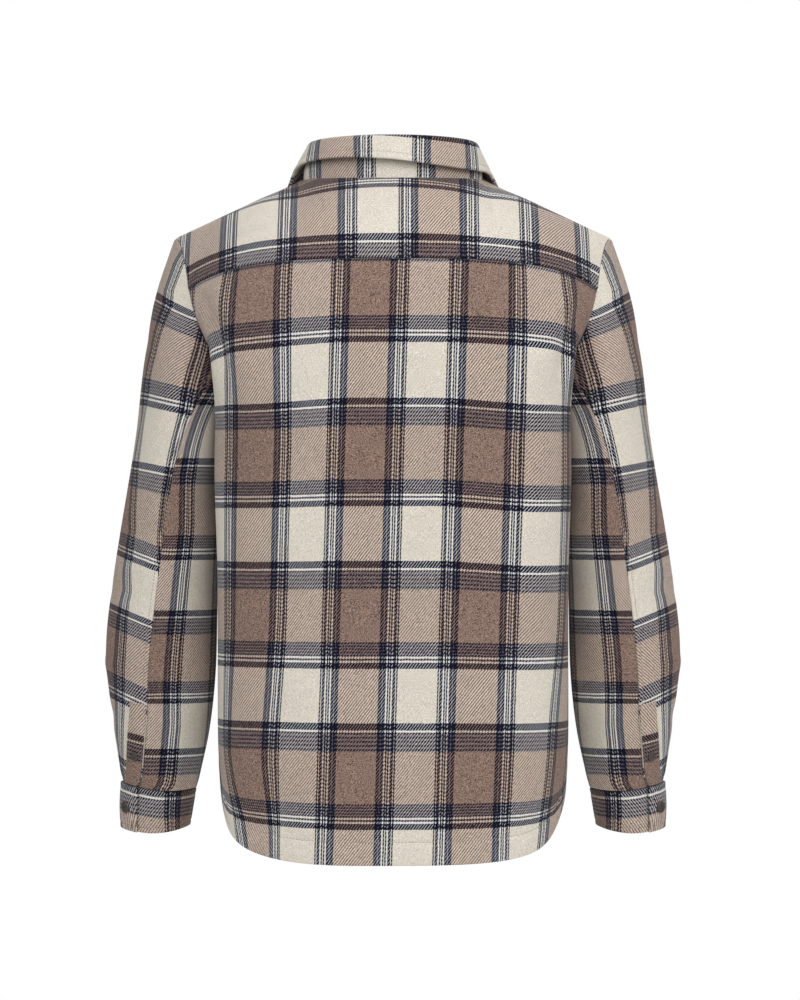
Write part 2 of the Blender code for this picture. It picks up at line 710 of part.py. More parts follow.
def leaf_section(line, along):
    """Inner side of the collar leaf at one place: up from the stand, over, and down outside it."""
    table = np.array(list(LEAF_LEVELS.values()))
    skew = COLLAR_SKEW * math.sin(2 * math.pi * min(max(along, -0.5), 0.5))
    fall = np.interp(abs(along), table[:, 0], table[:, 1]) + skew
    flare = np.interp(abs(along), table[:, 0], table[:, 2])
    top = stand_point(line, along, 1.0)
    out = unit(np.array([top[0], top[1], 0.0]))
    start = np.array(LEAF_START)
    finish = start + np.array([flare, -fall])
    falls = [start + (finish - start) * share for share in np.linspace(0, 1, LEAF_ROWS + 1)]
    return np.array([top + out * away + np.array([0, 0, up]) for away, up in list(LEAF_ROLL) + falls])


def make_collar(cloth, collection):
    line = neck_line()
    around = np.linspace(-STAND_END, STAND_END, COLLAR_COLUMNS + 1)
    stand = sampled(
        lambda a, u: stand_point(line, a, u), around, np.linspace(0, 1, STAND_ROWS + 1), (-1, 1), (0, 1)
    )
    make_panel("collar_stand", stand, -CLOTH, cloth, collection)
    leaf_around = np.linspace(-LEAF_END, LEAF_END, COLLAR_COLUMNS + 1)
    leaf = np.array([leaf_section(line, a) for a in leaf_around]).transpose(1, 0, 2)
    make_panel("collar_leaf", from_points(leaf, (0.0, 0.0, 0.05)), COLLAR_CLOTH, cloth, collection)


# Press studs


def make_stud(name, place, outward, radius, material, collection):
    """Turned cap with a soft rim, its back on the cloth at a place, facing outward."""
    profile = (
        (0.0, STUD_HEIGHT),
        (radius * 0.55, STUD_HEIGHT * 0.97),
        (radius * 0.88, STUD_HEIGHT * 0.86),
        (radius, STUD_HEIGHT * 0.5),
        (radius * 0.97, 0.0),
        (0.0, 0.0),
    )
    mesh = bpy.data.meshes.new(name)
    edges = [(i, i + 1) for i in range(len(profile) - 1)]
    mesh.from_pydata([(away, 0.0, height) for away, height in profile], edges, [])
    mesh.materials.append(material)
    stud = bpy.data.objects.new(name, mesh)
    turn = stud.modifiers.new("turn", "SCREW")
    turn.steps = STUD_STEPS
    turn.render_steps = STUD_STEPS
    turn.use_merge_vertices = True
    turn.merge_threshold = 0.00005
    turn.use_normal_calculate = True
    stud.location = place + outward * STUD_LIFT
    stud.rotation_mode = "QUATERNION"
    stud.rotation_quaternion = Vector(outward).to_track_quat("Z", "Y")
    collection.objects.link(stud)
    return stud


def make_stud_pair(name, place, outward, radius, material, collection):
    make_stud(name + "_right", place, outward, radius, material, collection)
    make_stud(name + "_left", place * OTHER_SIDE, outward * OTHER_SIDE, radius, material, collection)


def make_front_studs(upper_front, stud, collection):
    """Studs down the closing edge, on the middle of the jacket."""
    middle_column = int(np.argmin(np.abs(upper_front.points[0, :, 0])))
    line = upper_front.moved(CLOTH)[:, middle_column]
    rows = np.arange(len(line))
    for number in range(FRONT_STUDS):
        row = float(np.interp(FRONT_STUD_TOP_Z - number * FRONT_STUD_STEP, line[:, 2], rows))
        place, outward = upper_front.read(row, middle_column)
        place = place + outward * CLOTH
        make_stud(f"stud_front_{number + 1}", place, outward, STUD_RADIUS, stud, collection)


def main():
    clear_scene()
    collection = bpy.data.collections.new("lined_jacket")
    bpy.context.scene.collection.children.link(collection)
    cloth = make_material("checked_wool", CHECK_BEIGE, 0.95, 0.0)
    stud = make_material("stud_metal", STUD_GREY, 0.45, 0.6)
    back, yoke, front, upper_front = make_body(cloth, collection)
    make_sleeves(armhole_edge(back, yoke, front), cloth, stud, collection)
    make_collar(cloth, collection)
    make_front_studs(upper_front, stud, collection)


main()
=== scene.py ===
"""Looks of the lined shirt jacket: checked brushed twill, its sewing and its press studs.

Metres, +Z up, in the frame of the solids: the back faces -Y and the wearer's left is at -X.
Each cloth piece is a thin closed shell on the surface of its solid, finer, with its creases.
"""

import math

import bmesh
import bpy
import numpy as np
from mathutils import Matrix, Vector
from mathutils.kdtree import KDTree


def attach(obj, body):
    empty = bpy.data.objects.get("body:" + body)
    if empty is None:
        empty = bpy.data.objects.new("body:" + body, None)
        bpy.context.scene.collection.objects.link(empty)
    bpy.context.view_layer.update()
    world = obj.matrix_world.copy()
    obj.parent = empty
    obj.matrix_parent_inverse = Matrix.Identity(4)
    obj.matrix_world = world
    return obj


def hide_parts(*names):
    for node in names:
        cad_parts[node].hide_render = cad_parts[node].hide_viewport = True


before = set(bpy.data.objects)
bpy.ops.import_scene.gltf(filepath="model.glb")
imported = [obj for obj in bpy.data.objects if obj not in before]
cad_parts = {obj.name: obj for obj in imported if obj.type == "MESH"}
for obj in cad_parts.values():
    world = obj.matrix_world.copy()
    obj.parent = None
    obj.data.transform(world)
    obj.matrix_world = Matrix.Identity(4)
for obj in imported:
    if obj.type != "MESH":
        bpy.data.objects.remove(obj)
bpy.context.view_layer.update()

# Cloth, as in the solids
CLOTH = 0.003
PLACKET_CLOTH = 0.0025
COLLAR_CLOTH = 0.0035
CUFF_CLOTH = 0.0035
ARMHOLE_GAP = 0.0004

# Body, hem to underarm: inner side of the cloth, all round the body
BODY_COLUMNS = ("side_x", "side_z", "back_y", "back_z", "front_y", "front_z", "spread")
BODY_LEVELS = {
    "hem": (0.1865, -0.621, -0.125, -0.711, 0.119, -0.690, 0.00),
    "seat": (0.1885, -0.575, -0.128, -0.620, 0.121, -0.607, 0.03),
    "hip": (0.1865, -0.505, -0.130, -0.523, 0.122, -0.518, 0.08),
    "waist": (0.1810, -0.415, -0.133, -0.418, 0.124, -0.417, 0.17),
    "chest": (0.1750, -0.315, -0.137, -0.315, 0.126, -0.315, 0.26),
    "underarm": (0.1690, -0.228, -0.140, -0.228, 0.125, -0.228, 0.33),
}
BACK_SQUARENESS = 2.8
FRONT_SQUARENESS = 2.5
UPPER_BACK_COLUMNS = (
    "armhole_x", "armhole_y", "armhole_z", "back_y", "back_z", "spread", "squareness", "turn",
)
UPPER_BACK_LEVELS = {
    "blade": (0.1830, -0.050, -0.182, -0.1415, -0.155, 0.21, 2.6, 0.98),
    "upper": (0.2105, -0.064, -0.123, -0.1370, -0.103, 0.04, 2.2, 0.84),
    "yoke_seam": (0.2205, -0.046, -0.090, -0.1280, -0.060, 0.00, 2.0, 0.70),
}
ARMHOLE_FOLD_DEPTH = 0.004
ARMHOLE_FOLD_AT = 0.80
ARMHOLE_FOLD_WIDTH = 0.09
ARMHOLE_FOLD_STARTS = (3.0, 4.6)
ARMHOLE_FOLD_ENDS = (6.2, 7.4)
HANG_DEPTH = 0.003
HANG_WAVES = 3.5
HANG_TURN = 0.6
HANG_ENDS = (0.0, 3.2)
HEM_RISE = 0.0006
HEM_RISE_WIDTH = 0.002
YOKE_TUCK = 0.0008
YOKE_TUCK_WIDTH = 0.004

# Neck and shoulders, inner side of the cloth
NECK_HALF_WIDTH = 0.098
NECK_BACK_Y = -0.067
NECK_BACK_Z = 0.0285
NECK_SIDE_Z = 0.0300
SHOULDER_POINT = (0.238, 0.005, -0.0335)
SHOULDER_ARCH = 0.0002
FRONT_SEAM_NECK = (0.100, 0.028, 0.0180)
FRONT_SEAM_SHOULDER = (0.2365, 0.030, -0.0500)
NECK_FRONT = (0.0, 0.076, -0.055)
FRONT_ARMHOLE_PULL = 0.109
FRONT_RISE = 0.6
YOKE_NECK_SHARE = 0.45
YOKE_RISE = (0.60, 0.40)
YOKE_RISE_FROM = (YOKE_NECK_SHARE - 0.15, YOKE_NECK_SHARE + 0.2)
YOKE_FORWARD = (0.20, 0.42)
YOKE_CROWN = 0.12
YOKE_EDGE_RISE = 0.0007
YOKE_EDGE_RISE_ENDS = (0.005, 0.011)
FRONT_NECK_SHARE = 0.44
OVERLAP_SHARE = 0.032
STEP_FULL_X = 0.019
STEP_END_X = 0.050
STEP_GAP = 0.0006

# Collar
STAND_HEIGHT_BACK = 0.044
STAND_HEIGHT_FRONT = 0.032
STAND_LEAN = 0.90
STAND_SINK = 0.001
STAND_INSET = 0.0010
STAND_END = 0.997
STAND_SWELL = 0.005
STAND_SWELL_AT = 0.46
STAND_SWELL_WIDTH = 0.16
COLLAR_SKEW = 0.0052
LEAF_END = 0.945
LEAF_ROLL = ((-0.0015, 0.0014), (0.0005, 0.0034), (0.0035, 0.0026))
LEAF_START = (0.0050, -0.0005)
# Along the neck from the middle of the back, how far the leaf falls and how far it stands out
LEAF_LEVELS = {
    "back": (0.00, 0.0212, 0.0075),
    "shoulder": (0.38, 0.0243, 0.0105),
    "side": (0.52, 0.0360, 0.0245),
    "front": (0.66, 0.043, 0.040),
    "point": (1.00, 0.060, 0.048),
}

# Sleeve and cuff, outer side of the cloth, as on the wearer's right (+X)
SLEEVE_COLUMNS = ("out_x", "inn_x", "out_z", "inn_z", "middle_y", "half_depth", "drop")
SLEEVE_LEVELS = {
    "biceps": (0.2700, 0.1865, -0.145, -0.268, 0.010, 0.080, 0.000),
    "upper_arm": (0.2845, 0.1900, -0.255, -0.318, 0.016, 0.076, 0.000),
    "elbow": (0.3060, 0.1935, -0.385, -0.415, 0.022, 0.069, 0.000),
    "forearm": (0.3172, 0.1958, -0.478, -0.505, 0.027, 0.063, 0.000),
    "low_arm": (0.3115, 0.2030, -0.552, -0.572, 0.031, 0.057, 0.002),
    "gather": (0.3020, 0.2143, -0.613, -0.624, 0.034, 0.050, 0.004),
    "wrist": (0.2990, 0.2178, -0.6290, -0.6370, 0.035, 0.047, 0.005),
}
WRIST_ROW = len(SLEEVE_LEVELS)
CAP_BULGE = 0.004
# The sleeve's head faces as the body does where they look alike, near the armhole
HEAD_ALIKE = (-0.2, 0.5)
HEAD_ENDS = (0.0, 0.45)
HIND_SEAM = ((0.0, 236.0), (2.0, 272.0), (5.0, 283.0), (7.0, 303.0))
FORE_SEAM_DEGREES = 160.0
CUFF_LEVELS = {
    "top": (0.2992, 0.2176, -0.6295, -0.6375, 0.035, 0.0475, 0.005),
    "middle": (0.3005, 0.2210, -0.6550, -0.6580, 0.036, 0.0465, 0.006),
    "bottom": (0.2995, 0.2246, -0.6800, -0.6790, 0.037, 0.0450, 0.006),
}
CUFF_EDGE_DEGREES = 300.0
CUFF_OVERLAP_DEGREES = 28.0
CUFF_EASE_DEGREES = (30.0, 80.0)
CUFF_LIFT = 0.0041
PLACKET_ROWS = (4.72, 6.93)
PLACKET_DEGREES = (20.0, 33.0)
PLACKET_FROM_SEAM = 0.5
PLACKET_LIFT = 0.0005
GATHER_ENDS = (0.055, 0.012)
GATHER_DEPTH = 0.0010
GATHERS = 9
GATHER_TURN = 0.8

# Mesh: spacing of its lines, and the closer lines along an edge that round it
STEP = 0.004
RIM_MARKS = (0.0, 0.0003, 0.0008, 0.0016, 0.0032)
BESIDE_STITCHES = (-0.0016, -0.0007, 0.0, 0.0007, 0.0016)
BESIDE_NECK = (-0.012, -0.004, 0.0, 0.004, 0.012)
YOKE_END_LENGTH = 0.2
CUFF_STEP = 0.0032
LEAF_STEP = 0.0034
PLACKET_STEP = 0.0028
FREE_RIM = 0.0016
SEAM_RIM = 0.0009

# Sewing: distances of the stitch rows from the edges, and how deep they pull the cloth in
HEM_STITCH = 0.025
COLLAR_STITCH = 0.008
SEAM_STITCH = 0.0055
CUFF_STITCH = 0.006
FRONT_STITCHES = (0.006, 0.034)
PLACKET_STITCH = 0.0022
PLACKET_CROSS = 0.017
PLACKET_SINK = 0.6
STITCH_SINK = 0.0005
STITCH_SINK_WIDTH = 0.0012
STITCH_PITCH = 0.0036
STITCH_LENGTH = 0.0029
THREAD_WIDTH = 0.00055

# Check of the cloth: threads in one repeat, and the repeat's size
REPEAT_THREADS = 160
WARP_REPEAT = 0.126
WEFT_REPEAT = 0.1748

OTHER_SIDE = np.array([-1.0, 1.0, 1.0])


def smoothstep(low, high, value):
    share = np.clip((value - low) / (high - low), 0.0, 1.0)
    return share * share * (3.0 - 2.0 * share)


def bell(distance, width):
    return np.exp(-((distance / width) ** 2))


def spline(rows, at):
    """Catmull-Rom curve through rows (first axis), read at a fractional row number."""
    last = len(rows) - 1
    first = min(max(int(math.floor(at)), 0), last - 1)
    share = at - first
    start, end = rows[first], rows[first + 1]
    before = rows[first - 1] if first > 0 else 2 * start - end
    after = rows[first + 2] if first + 2 <= last else 2 * end - start
    return curve_between(before, start, end, after, share)


def curve_between(before, start, end, after, share):
    return 0.5 * (
        2 * start
        + (end - before) * share
        + (2 * before - 5 * start + 4 * end - after) * share**2
        + (3 * start - before - 3 * end + after) * share**3
    )


def bezier(start, pull, end, share):
    return (1 - share) ** 2 * start + 2 * share * (1 - share) * pull + share**2 * end


def unit(vectors):
    return vectors / np.maximum(np.linalg.norm(vectors, axis=-1, keepdims=True), 1e-12)


# Surfaces of the body: each gives the points of one level, for a row of places across it


def level_rows(middle, squareness):
    rows = []
    for level in BODY_LEVELS.values():
        size = dict(zip(BODY_COLUMNS, level))
        edge = (size["side_x"], 0.0, size["side_z"])
        rows.append((*edge, size[middle + "_y"], size[middle + "_z"], size["spread"], squareness, 1.0))
    return rows


def front_level_rows():
    rows = level_rows("front", FRONT_SQUARENESS)
    above = dict(zip(UPPER_BACK_COLUMNS, UPPER_BACK_LEVELS["blade"]))
    edge = (above["armhole_x"], above["armhole_y"], above["armhole_z"])
    return rows + [(*edge, rows[-1][3], above["back_z"], above["spread"], FRONT_SQUARENESS, 1.0)]


BACK_LEVELS = np.array(level_rows("back", BACK_SQUARENESS) + list(UPPER_BACK_LEVELS.values()))
FRONT_LEVELS = np.array(front_level_rows())
UNDERARM_ROW = len(BODY_LEVELS) - 1
YOKE_SEAM_ROW = len(BACK_LEVELS) - 1


def row_points(row, across, spread_curve):
    edge_x, edge_y, edge_z, middle_y, middle_z, spread, squareness, turn = row
    side = np.abs(across)
    power = 2.0 / squareness
    end = turn * math.pi / 2
    inward = np.clip((np.cos(side * end) - math.cos(end)) / (1 - math.cos(end)), 0.0, None) ** power
    outward = (np.sin(side * end) / math.sin(end)) ** power
    x = np.sign(across) * edge_x * (1 + spread * spread_curve(inward)) * outward
    y = edge_y + (middle_y - edge_y) * inward
    z = middle_z + (edge_z - middle_z) * side**3
    return np.stack([x, y, z], axis=-1)


def back_points(across, level):
    return row_points(spline(BACK_LEVELS, level), across, lambda inward: inward)


def ridge_points(across):
    """Back neck, then the top of the shoulder out to the shoulder point."""
    side = np.abs(across)
    turn = np.clip(side / YOKE_NECK_SHARE, 0, 1) * math.pi / 2
    neck_z = NECK_BACK_Z + (NECK_SIDE_Z - NECK_BACK_Z) * np.sin(turn) ** 2
    neck = np.stack([NECK_HALF_WIDTH * np.sin(turn), NECK_BACK_Y * np.cos(turn), neck_z], axis=-1)
    share = np.clip((side - YOKE_NECK_SHARE) / (1 - YOKE_NECK_SHARE), 0, 1)
    neck_side = np.array([NECK_HALF_WIDTH, 0.0, NECK_SIDE_Z])
    shoulder = neck_side + (np.array(SHOULDER_POINT) - neck_side) * share[:, None]
    shoulder[:, 2] += SHOULDER_ARCH * np.sin(share * math.pi)
    points = np.where(side[:, None] <= YOKE_NECK_SHARE, neck, shoulder)
    points[:, 0] *= np.sign(across)
    return points


def yoke_pull(across):
    side = np.abs(across)
    seam, ridge = back_points(across, YOKE_SEAM_ROW), ridge_points(across)
    rise = YOKE_RISE[0] + YOKE_RISE[1] * smoothstep(*YOKE_RISE_FROM, side)
    forward = YOKE_FORWARD[0] + YOKE_FORWARD[1] * side**2
    pull = 0.5 * (seam + ridge)
    pull[:, 1] = seam[:, 1] + forward * (ridge[:, 1] - seam[:, 1])
    pull[:, 2] = seam[:, 2] + rise * (ridge[:, 2] - seam[:, 2])
    return pull


def front_seam_points(share):
    share = np.clip(share, 0, 1)[:, None]
    return np.array(FRONT_SEAM_NECK) * (1 - share) + np.array(FRONT_SEAM_SHOULDER) * share


def yoke_points(across, level):
    """Yoke: level 0 at the yoke seam, 1 on the neck or ridge, 2 at the front seam."""
    ridge, pull = ridge_points(across), yoke_pull(across)
    if level <= 1:
        return bezier(back_points(across, YOKE_SEAM_ROW), pull, ridge, level)
    end = front_seam_points((np.abs(across) - YOKE_NECK_SHARE) / (1 - YOKE_NECK_SHARE))
    end[:, 0] *= np.sign(across)
    over = 0.5 * (ridge + end)
    over[:, 2] = ridge[:, 2] + YOKE_CROWN * (ridge[:, 2] - pull[:, 2])
    return bezier(ridge, over, end, level - 1)


def front_lower_points(across, level):
    return row_points(spline(FRONT_LEVELS, level), across, lambda inward: -inward * (1 - inward) ** 3)


def front_top_points(across):
    """Front neck, then the front shoulder seam."""
    side = np.abs(across)
    turn = np.clip(side / FRONT_NECK_SHARE, 0, 1) * math.pi / 2
    neck, corner = np.array(NECK_FRONT), np.array(FRONT_SEAM_NECK)
    x = np.sign(across) * corner[0] * np.sin(turn)
    y = corner[1] + (neck[1] - corner[1]) * np.cos(turn)
    z = neck[2] + (corner[2] - neck[2]) * (1 - np.cos(turn))
    seam = front_seam_points((side - FRONT_NECK_SHARE) / (1 - FRONT_NECK_SHARE))
    return np.where(side[:, None] > FRONT_NECK_SHARE, seam, np.stack([x, y, z], axis=-1))


def front_points(across, level):
    """Front: level 0 to 1 below the underarm, 1 to 2 above it."""
    if level <= 1:
        return front_lower_points(across, level * UNDERARM_ROW)
    low, top = front_lower_points(across, UNDERARM_ROW), front_top_points(across)
    pull = 0.5 * (low + top)
    pull[:, 1] = low[:, 1] + FRONT_ARMHOLE_PULL * across**6
    pull[:, 2] = low[:, 2] + FRONT_RISE * (top[:, 2] - low[:, 2])
    return bezier(low, pull, top, level - 1)


# Grids of cloth


def read_lines(lines, at):
    """Points of each line (first axis) at fractional places along it."""
    padded = np.concatenate(
        [2 * lines[:, :1] - lines[:, 1:2], lines, 2 * lines[:, -1:] - lines[:, -2:-1]], axis=1
    )
    first = np.clip(np.floor(at).astype(int), 0, lines.shape[1] - 2)
    share = (at - first)[..., None]
    near = [np.take_along_axis(padded, (first + k)[..., None], axis=1) for k in range(4)]
    return curve_between(*near, share)


def lengths_along(lines):
    steps = np.linalg.norm(np.diff(lines[..., :3], axis=1), axis=-1)
    return np.concatenate([np.zeros((len(lines), 1)), np.cumsum(steps, axis=1)], axis=1)


def laid(lines, start_marks, end_marks, step):
    """Each line with points at set distances from its ends and even ones between."""
    lengths = lengths_along(lines)
    whole = lengths[:, -1]
    start, end = np.array(start_marks), np.array(end_marks)
    count = max(int(round((whole.max() - start[-1] - end[-1]) / step)), 2)
    shares = np.linspace(0, 1, count + 1)[1:-1]
    places = []
    for run, length in zip(whole, lengths):
        low, high = start[-1], run - end[-1]
        wanted = np.concatenate([start, low + (high - low) * shares, run - end[::-1]])
        places.append(np.interp(wanted, length, np.arange(len(length))))
    return read_lines(lines, np.array(places))


class Cloth:
    """A grid of points over a surface with the places that they have on it.

    across and level: the numbers of the surface at each point. facing: 1 or -1, so that the
    normals look out of the jacket. marks: the set distances of grid lines from each side.
    """

    def __init__(self, points, across, level, facing, marks):
        self.points, self.across, self.level = points, across, level
        self.facing, self.marks = facing, marks
        self.uv = None

    def normals(self):
        along, up = np.gradient(self.points, axis=1), np.gradient(self.points, axis=0)
        return unit(np.cross(along, up)) * self.facing

    def moved(self, height, normals=None):
        """The cloth moved out, along its own normals or others, by one height or one for each point."""
        height = np.broadcast_to(height, self.points.shape[:2])[..., None]
        points = self.points + (self.normals() if normals is None else normals) * height
        cloth = Cloth(points, self.across, self.level, self.facing, self.marks)
        cloth.uv = self.uv
        return cloth

    def mirrored(self):
        flip = np.s_[:, ::-1]
        marks = dict(self.marks, first=self.marks["last"], last=self.marks["first"])
        cloth = Cloth(
            (self.points * OTHER_SIDE)[flip], self.across[flip], self.level[flip], self.facing, marks
        )
        if self.uv is not None:
            cloth.uv = self.uv[flip]
        return cloth

    def distance(self, side):
        """Distance along the cloth from one side of the grid."""
        if side in ("first", "last"):
            lengths = lengths_along(self.points)
        else:
            lengths = lengths_along(self.points.transpose(1, 0, 2)).T
        if side == "first" or side == "bottom":
            return lengths
        return (lengths[:, -1:] - lengths) if side == "last" else (lengths[-1:] - lengths)

    def line(self, side, inset):
        """Points of the grid line that runs beside a side at a set distance."""
        number = int(np.argmin(np.abs(np.array(self.marks[side]) - inset)))
        if side in ("last", "top"):
            number = -1 - number
        return self.points[:, number] if side in ("first", "last") else self.points[number]

    def cut(self, kept=True):
        """Width, length and area of the flat cloth, over the faces that are kept."""
        along, up = np.diff(self.points, axis=1)[:-1], np.diff(self.points, axis=0)[:, :-1]
        width = (np.linalg.norm(along, axis=-1) * kept).sum(axis=1).max()
        length = (np.linalg.norm(up, axis=-1) * kept).sum(axis=0).max()
        area = (np.linalg.norm(np.cross(along, up), axis=-1) * kept).sum()
        return width, length, min(area, width * length)


def stitched(*insets):
    """Marks for an edge with rows of stitches beside it."""
    beside = (round(inset + away, 5) for inset in insets for away in BESIDE_STITCHES)
    return sorted({*RIM_MARKS, *beside})


def sampled(surface, acrosses, levels):
    """Points of a surface with their across and level numbers beside them.

    acrosses: the places across every level, or a function that gives them for a level.
    """
    grid = []
    for level in levels:
        places = acrosses(level) if callable(acrosses) else acrosses
        grid.append(np.column_stack([surface(places, level), places, np.full(len(places), level)]))
    return np.array(grid)


def cloth_over(
    grid, facing, first=RIM_MARKS, last=RIM_MARKS, bottom=RIM_MARKS, top=RIM_MARKS, step=STEP
):
    """Cloth over a sampled surface, its lines laid out by real distances."""
    columns = laid(grid.transpose(1, 0, 2), bottom, top, step).transpose(1, 0, 2)
    rows = laid(columns, first, last, step)
    marks = {"first": first, "last": last, "bottom": bottom, "top": top}
    return Cloth(rows[..., :3], rows[..., 3], rows[..., 4], facing, marks)


def sunk_rows(cloth, **rows):
    """Height of the cloth where rows of stitches draw it in, for a list of insets on each side."""
    height = np.zeros(cloth.points.shape[:2])
    for side, insets in rows.items():
        away = cloth.distance(side)
        for inset in insets:
            height -= STITCH_SINK * bell(away - inset, STITCH_SINK_WIDTH)
    return height


def creased(across, down, creases):
    """Height of soft ridges (depth above 0) and troughs along lines drawn on the flat cloth."""
    height = np.zeros(across.shape)
    for across_0, down_0, across_1, down_1, width, depth, bow in creases:
        run_across, run_down = across_1 - across_0, down_1 - down_0
        run = math.hypot(run_across, run_down)
        along = ((across - across_0) * run_across + (down - down_0) * run_down) / run**2
        aside = ((across - across_0) * run_down - (down - down_0) * run_across) / run
        aside = aside - bow * np.sin(np.clip(along, 0, 1) * math.pi)
        fade = smoothstep(*CREASE_STARTS, along) * (1 - smoothstep(*CREASE_ENDS, along))
        height += depth * fade * bell(aside, width)
    return height


def make_shell(name, cloth, thickness, finish, inside, rim=SEAM_RIM, keep=None):
    """Closed shell round a cloth's middle surface, thinned to a round rim at its edges."""
    rows, columns = cloth.points.shape[:2]
    kept = np.ones((rows - 1, columns - 1), bool) if keep is None else keep
    number = np.arange(rows * columns).reshape(rows, columns)
    corners = [number[:-1, :-1], number[:-1, 1:], number[1:, 1:], number[1:, :-1]]
    quads = np.stack([corner[kept] for corner in corners], axis=1)
    if cloth.facing < 0:
        quads = quads[:, ::-1]
    around = np.bincount(quads.ravel(), minlength=rows * columns)
    used, edge = around > 0, (around > 0) & (around < 4)
    middle = cloth.points.reshape(-1, 3)
    tree = KDTree(int(edge.sum()))
    for index in np.flatnonzero(edge):
        tree.insert(middle[index], int(index))
    tree.balance()
    away = np.array([tree.find(point)[2] if near else 0.0 for point, near in zip(middle, used)])
    half = 0.5 * thickness * np.sqrt(1 - (1 - np.clip(away / rim, 0, 1)) ** 2)
    outward = cloth.normals().reshape(-1, 3) * half[:, None]
    outer_id = np.full(rows * columns, -1)
    outer_id[used] = np.arange(used.sum())
    inner_id = outer_id.copy()
    within = used & ~edge
    inner_id[within] = used.sum() + np.arange(within.sum())
    points = np.concatenate([(middle + outward)[used], (middle - outward)[within]])
    faces = np.concatenate([outer_id[quads], inner_id[quads[:, ::-1]]])
    flat = cloth.uv.reshape(-1, 2)
    flat = np.concatenate([flat[used], flat[within]])
    mesh = bpy.data.meshes.new(name)
    mesh.from_pydata(points.tolist(), [], faces.tolist())
    mesh.materials.append(finish)
    mesh.materials.append(inside)
    mesh.polygons.foreach_set("material_index", np.repeat([0, 1], len(quads)).astype(np.int32))
    mesh.polygons.foreach_set("use_smooth", np.ones(len(faces), bool))
    mesh.uv_layers.new(name="cloth").data.foreach_set("uv", flat[faces.ravel()].ravel())
    mesh.update()
    return put_in_scene(name, mesh)


def put_in_scene(name, mesh):
    piece = bpy.data.objects.new(name, mesh)
    bpy.context.scene.collection.objects.link(piece)
    return piece


def declare_cloth(piece, cloth, node, kept=True):
    """Rides on the jacket and stands for its solid; the flat cut of the cloth is measured but not kept."""
    width, length, area = cloth.cut(kept)
    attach(piece, "root")
    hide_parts(node)


# Where the check lies on each piece: distances across and down the cloth, in metres.
# Down is 0 where a brown block of the weft ends; across is 0 where one of the warp ends.
BAND_ZERO_Z = -0.1218
BACK_CHECK_ACROSS = 0.0055
BACK_CHECK_LEAN = 0.029
BACK_CHECK_LEAN_FROM = 0.063
# The bands follow the cut at the top of the back, lie level below, and rise again towards the hem
BACK_BAND_LEVELS = (0.20, 0.40)
BACK_BAND_RISE = 0.6
BACK_BAND_RISES = (0.46, 0.60)
# At the low corners and at the sides the groups lean and are drawn in: how far, and from where to where
BACK_CORNER_LEAN = {"left": 0.032, "right": 0.012}
BACK_CORNER_DOWN = (0.47, 0.60)
BACK_CORNER_ACROSS = (0.11, 0.17)
BACK_LEFT_DRAW = 0.0064
BACK_LEFT_DRAWN = (0.06, 0.13)
BACK_RIGHT_DRAW = 0.0020
BACK_RIGHT_DRAWN = (0.06, 0.12)
BACK_RIGHT_EDGE_DRAW = 0.0110
BACK_RIGHT_EDGE_DRAWN = (0.125, 0.185)
BACK_DRAW_STARTS = (-0.06, 0.16)
BACK_DRAW_ENDS = (0.32, 0.48)
BACK_SIDE_DROPS = (0.04, 0.16)
# By the distance down the back, how far the bands hang lower at the left, in the middle and at the right
BACK_BAND_DROP = (
    (-0.060, 0.0010, 0.0000, 0.0010), (0.026, 0.0060, 0.0005, 0.0030), (0.090, 0.0085, 0.0020, 0.0085),
    (0.154, 0.0035, 0.0005, 0.0075), (0.283, 0.0030, 0.0020, 0.0075), (0.350, 0.0000, 0.0005, 0.0030),
    (0.480, 0.0000, 0.0015, 0.0020), (0.540, -0.0030, -0.0015, -0.0020),
)
YOKE_CHECK_ACROSS = 0.0567
YOKE_CHECK_STRETCH = 0.97
YOKE_SIDE_X = 0.165
YOKE_SIDE_STRETCH = 4.0
YOKE_SEAM_DOWN = 0.111
YOKE_DOWN_STRETCH = 0.90
STAND_CHECK_ACROSS = 0.0376
STAND_CHECK_STRETCH = 0.955
STAND_CHECK_DOWN = 0.036
LEAF_CHECK_ACROSS = 0.0421
LEAF_CHECK_DOWN = 0.0215
LEAF_CHECK_TILT = 0.06
FRONT_CHECK_ACROSS = 0.0050
# Top sleeve: height below the shoulders, distance down the check, slope of its weft bands
TOP_SLEEVE_CHECK = (
    (0.000, -0.1460, 0.70), (0.0875, -0.0884, 0.70), (0.188, 0.0, 0.26), (0.280, 0.0864, 0.18),
    (0.367, 0.1748, 0.37), (0.4505, 0.2612, 0.39), (0.5275, 0.3495, 0.43), (0.662, 0.4770, 0.47),
)
TOP_SLEEVE_CHECK_X = 0.2646
# Its hind seam: height below the shoulders, place across the check, stretch of the check beside it
TOP_SLEEVE_SEAM = (
    (0.058, 0.141, 0.85), (0.090, 0.127, 0.85), (0.107, 0.111, 0.84), (0.161, 0.093, 0.81),
    (0.225, 0.0757, 0.74), (0.281, 0.0719, 0.77), (0.314, 0.0747, 0.97), (0.351, 0.0748, 1.18),
    (0.376, 0.0696, 1.20), (0.420, 0.0582, 1.10), (0.450, 0.0558, 1.05), (0.489, 0.0505, 1.0),
)
TOP_SLEEVE_STRETCHED = 0.075
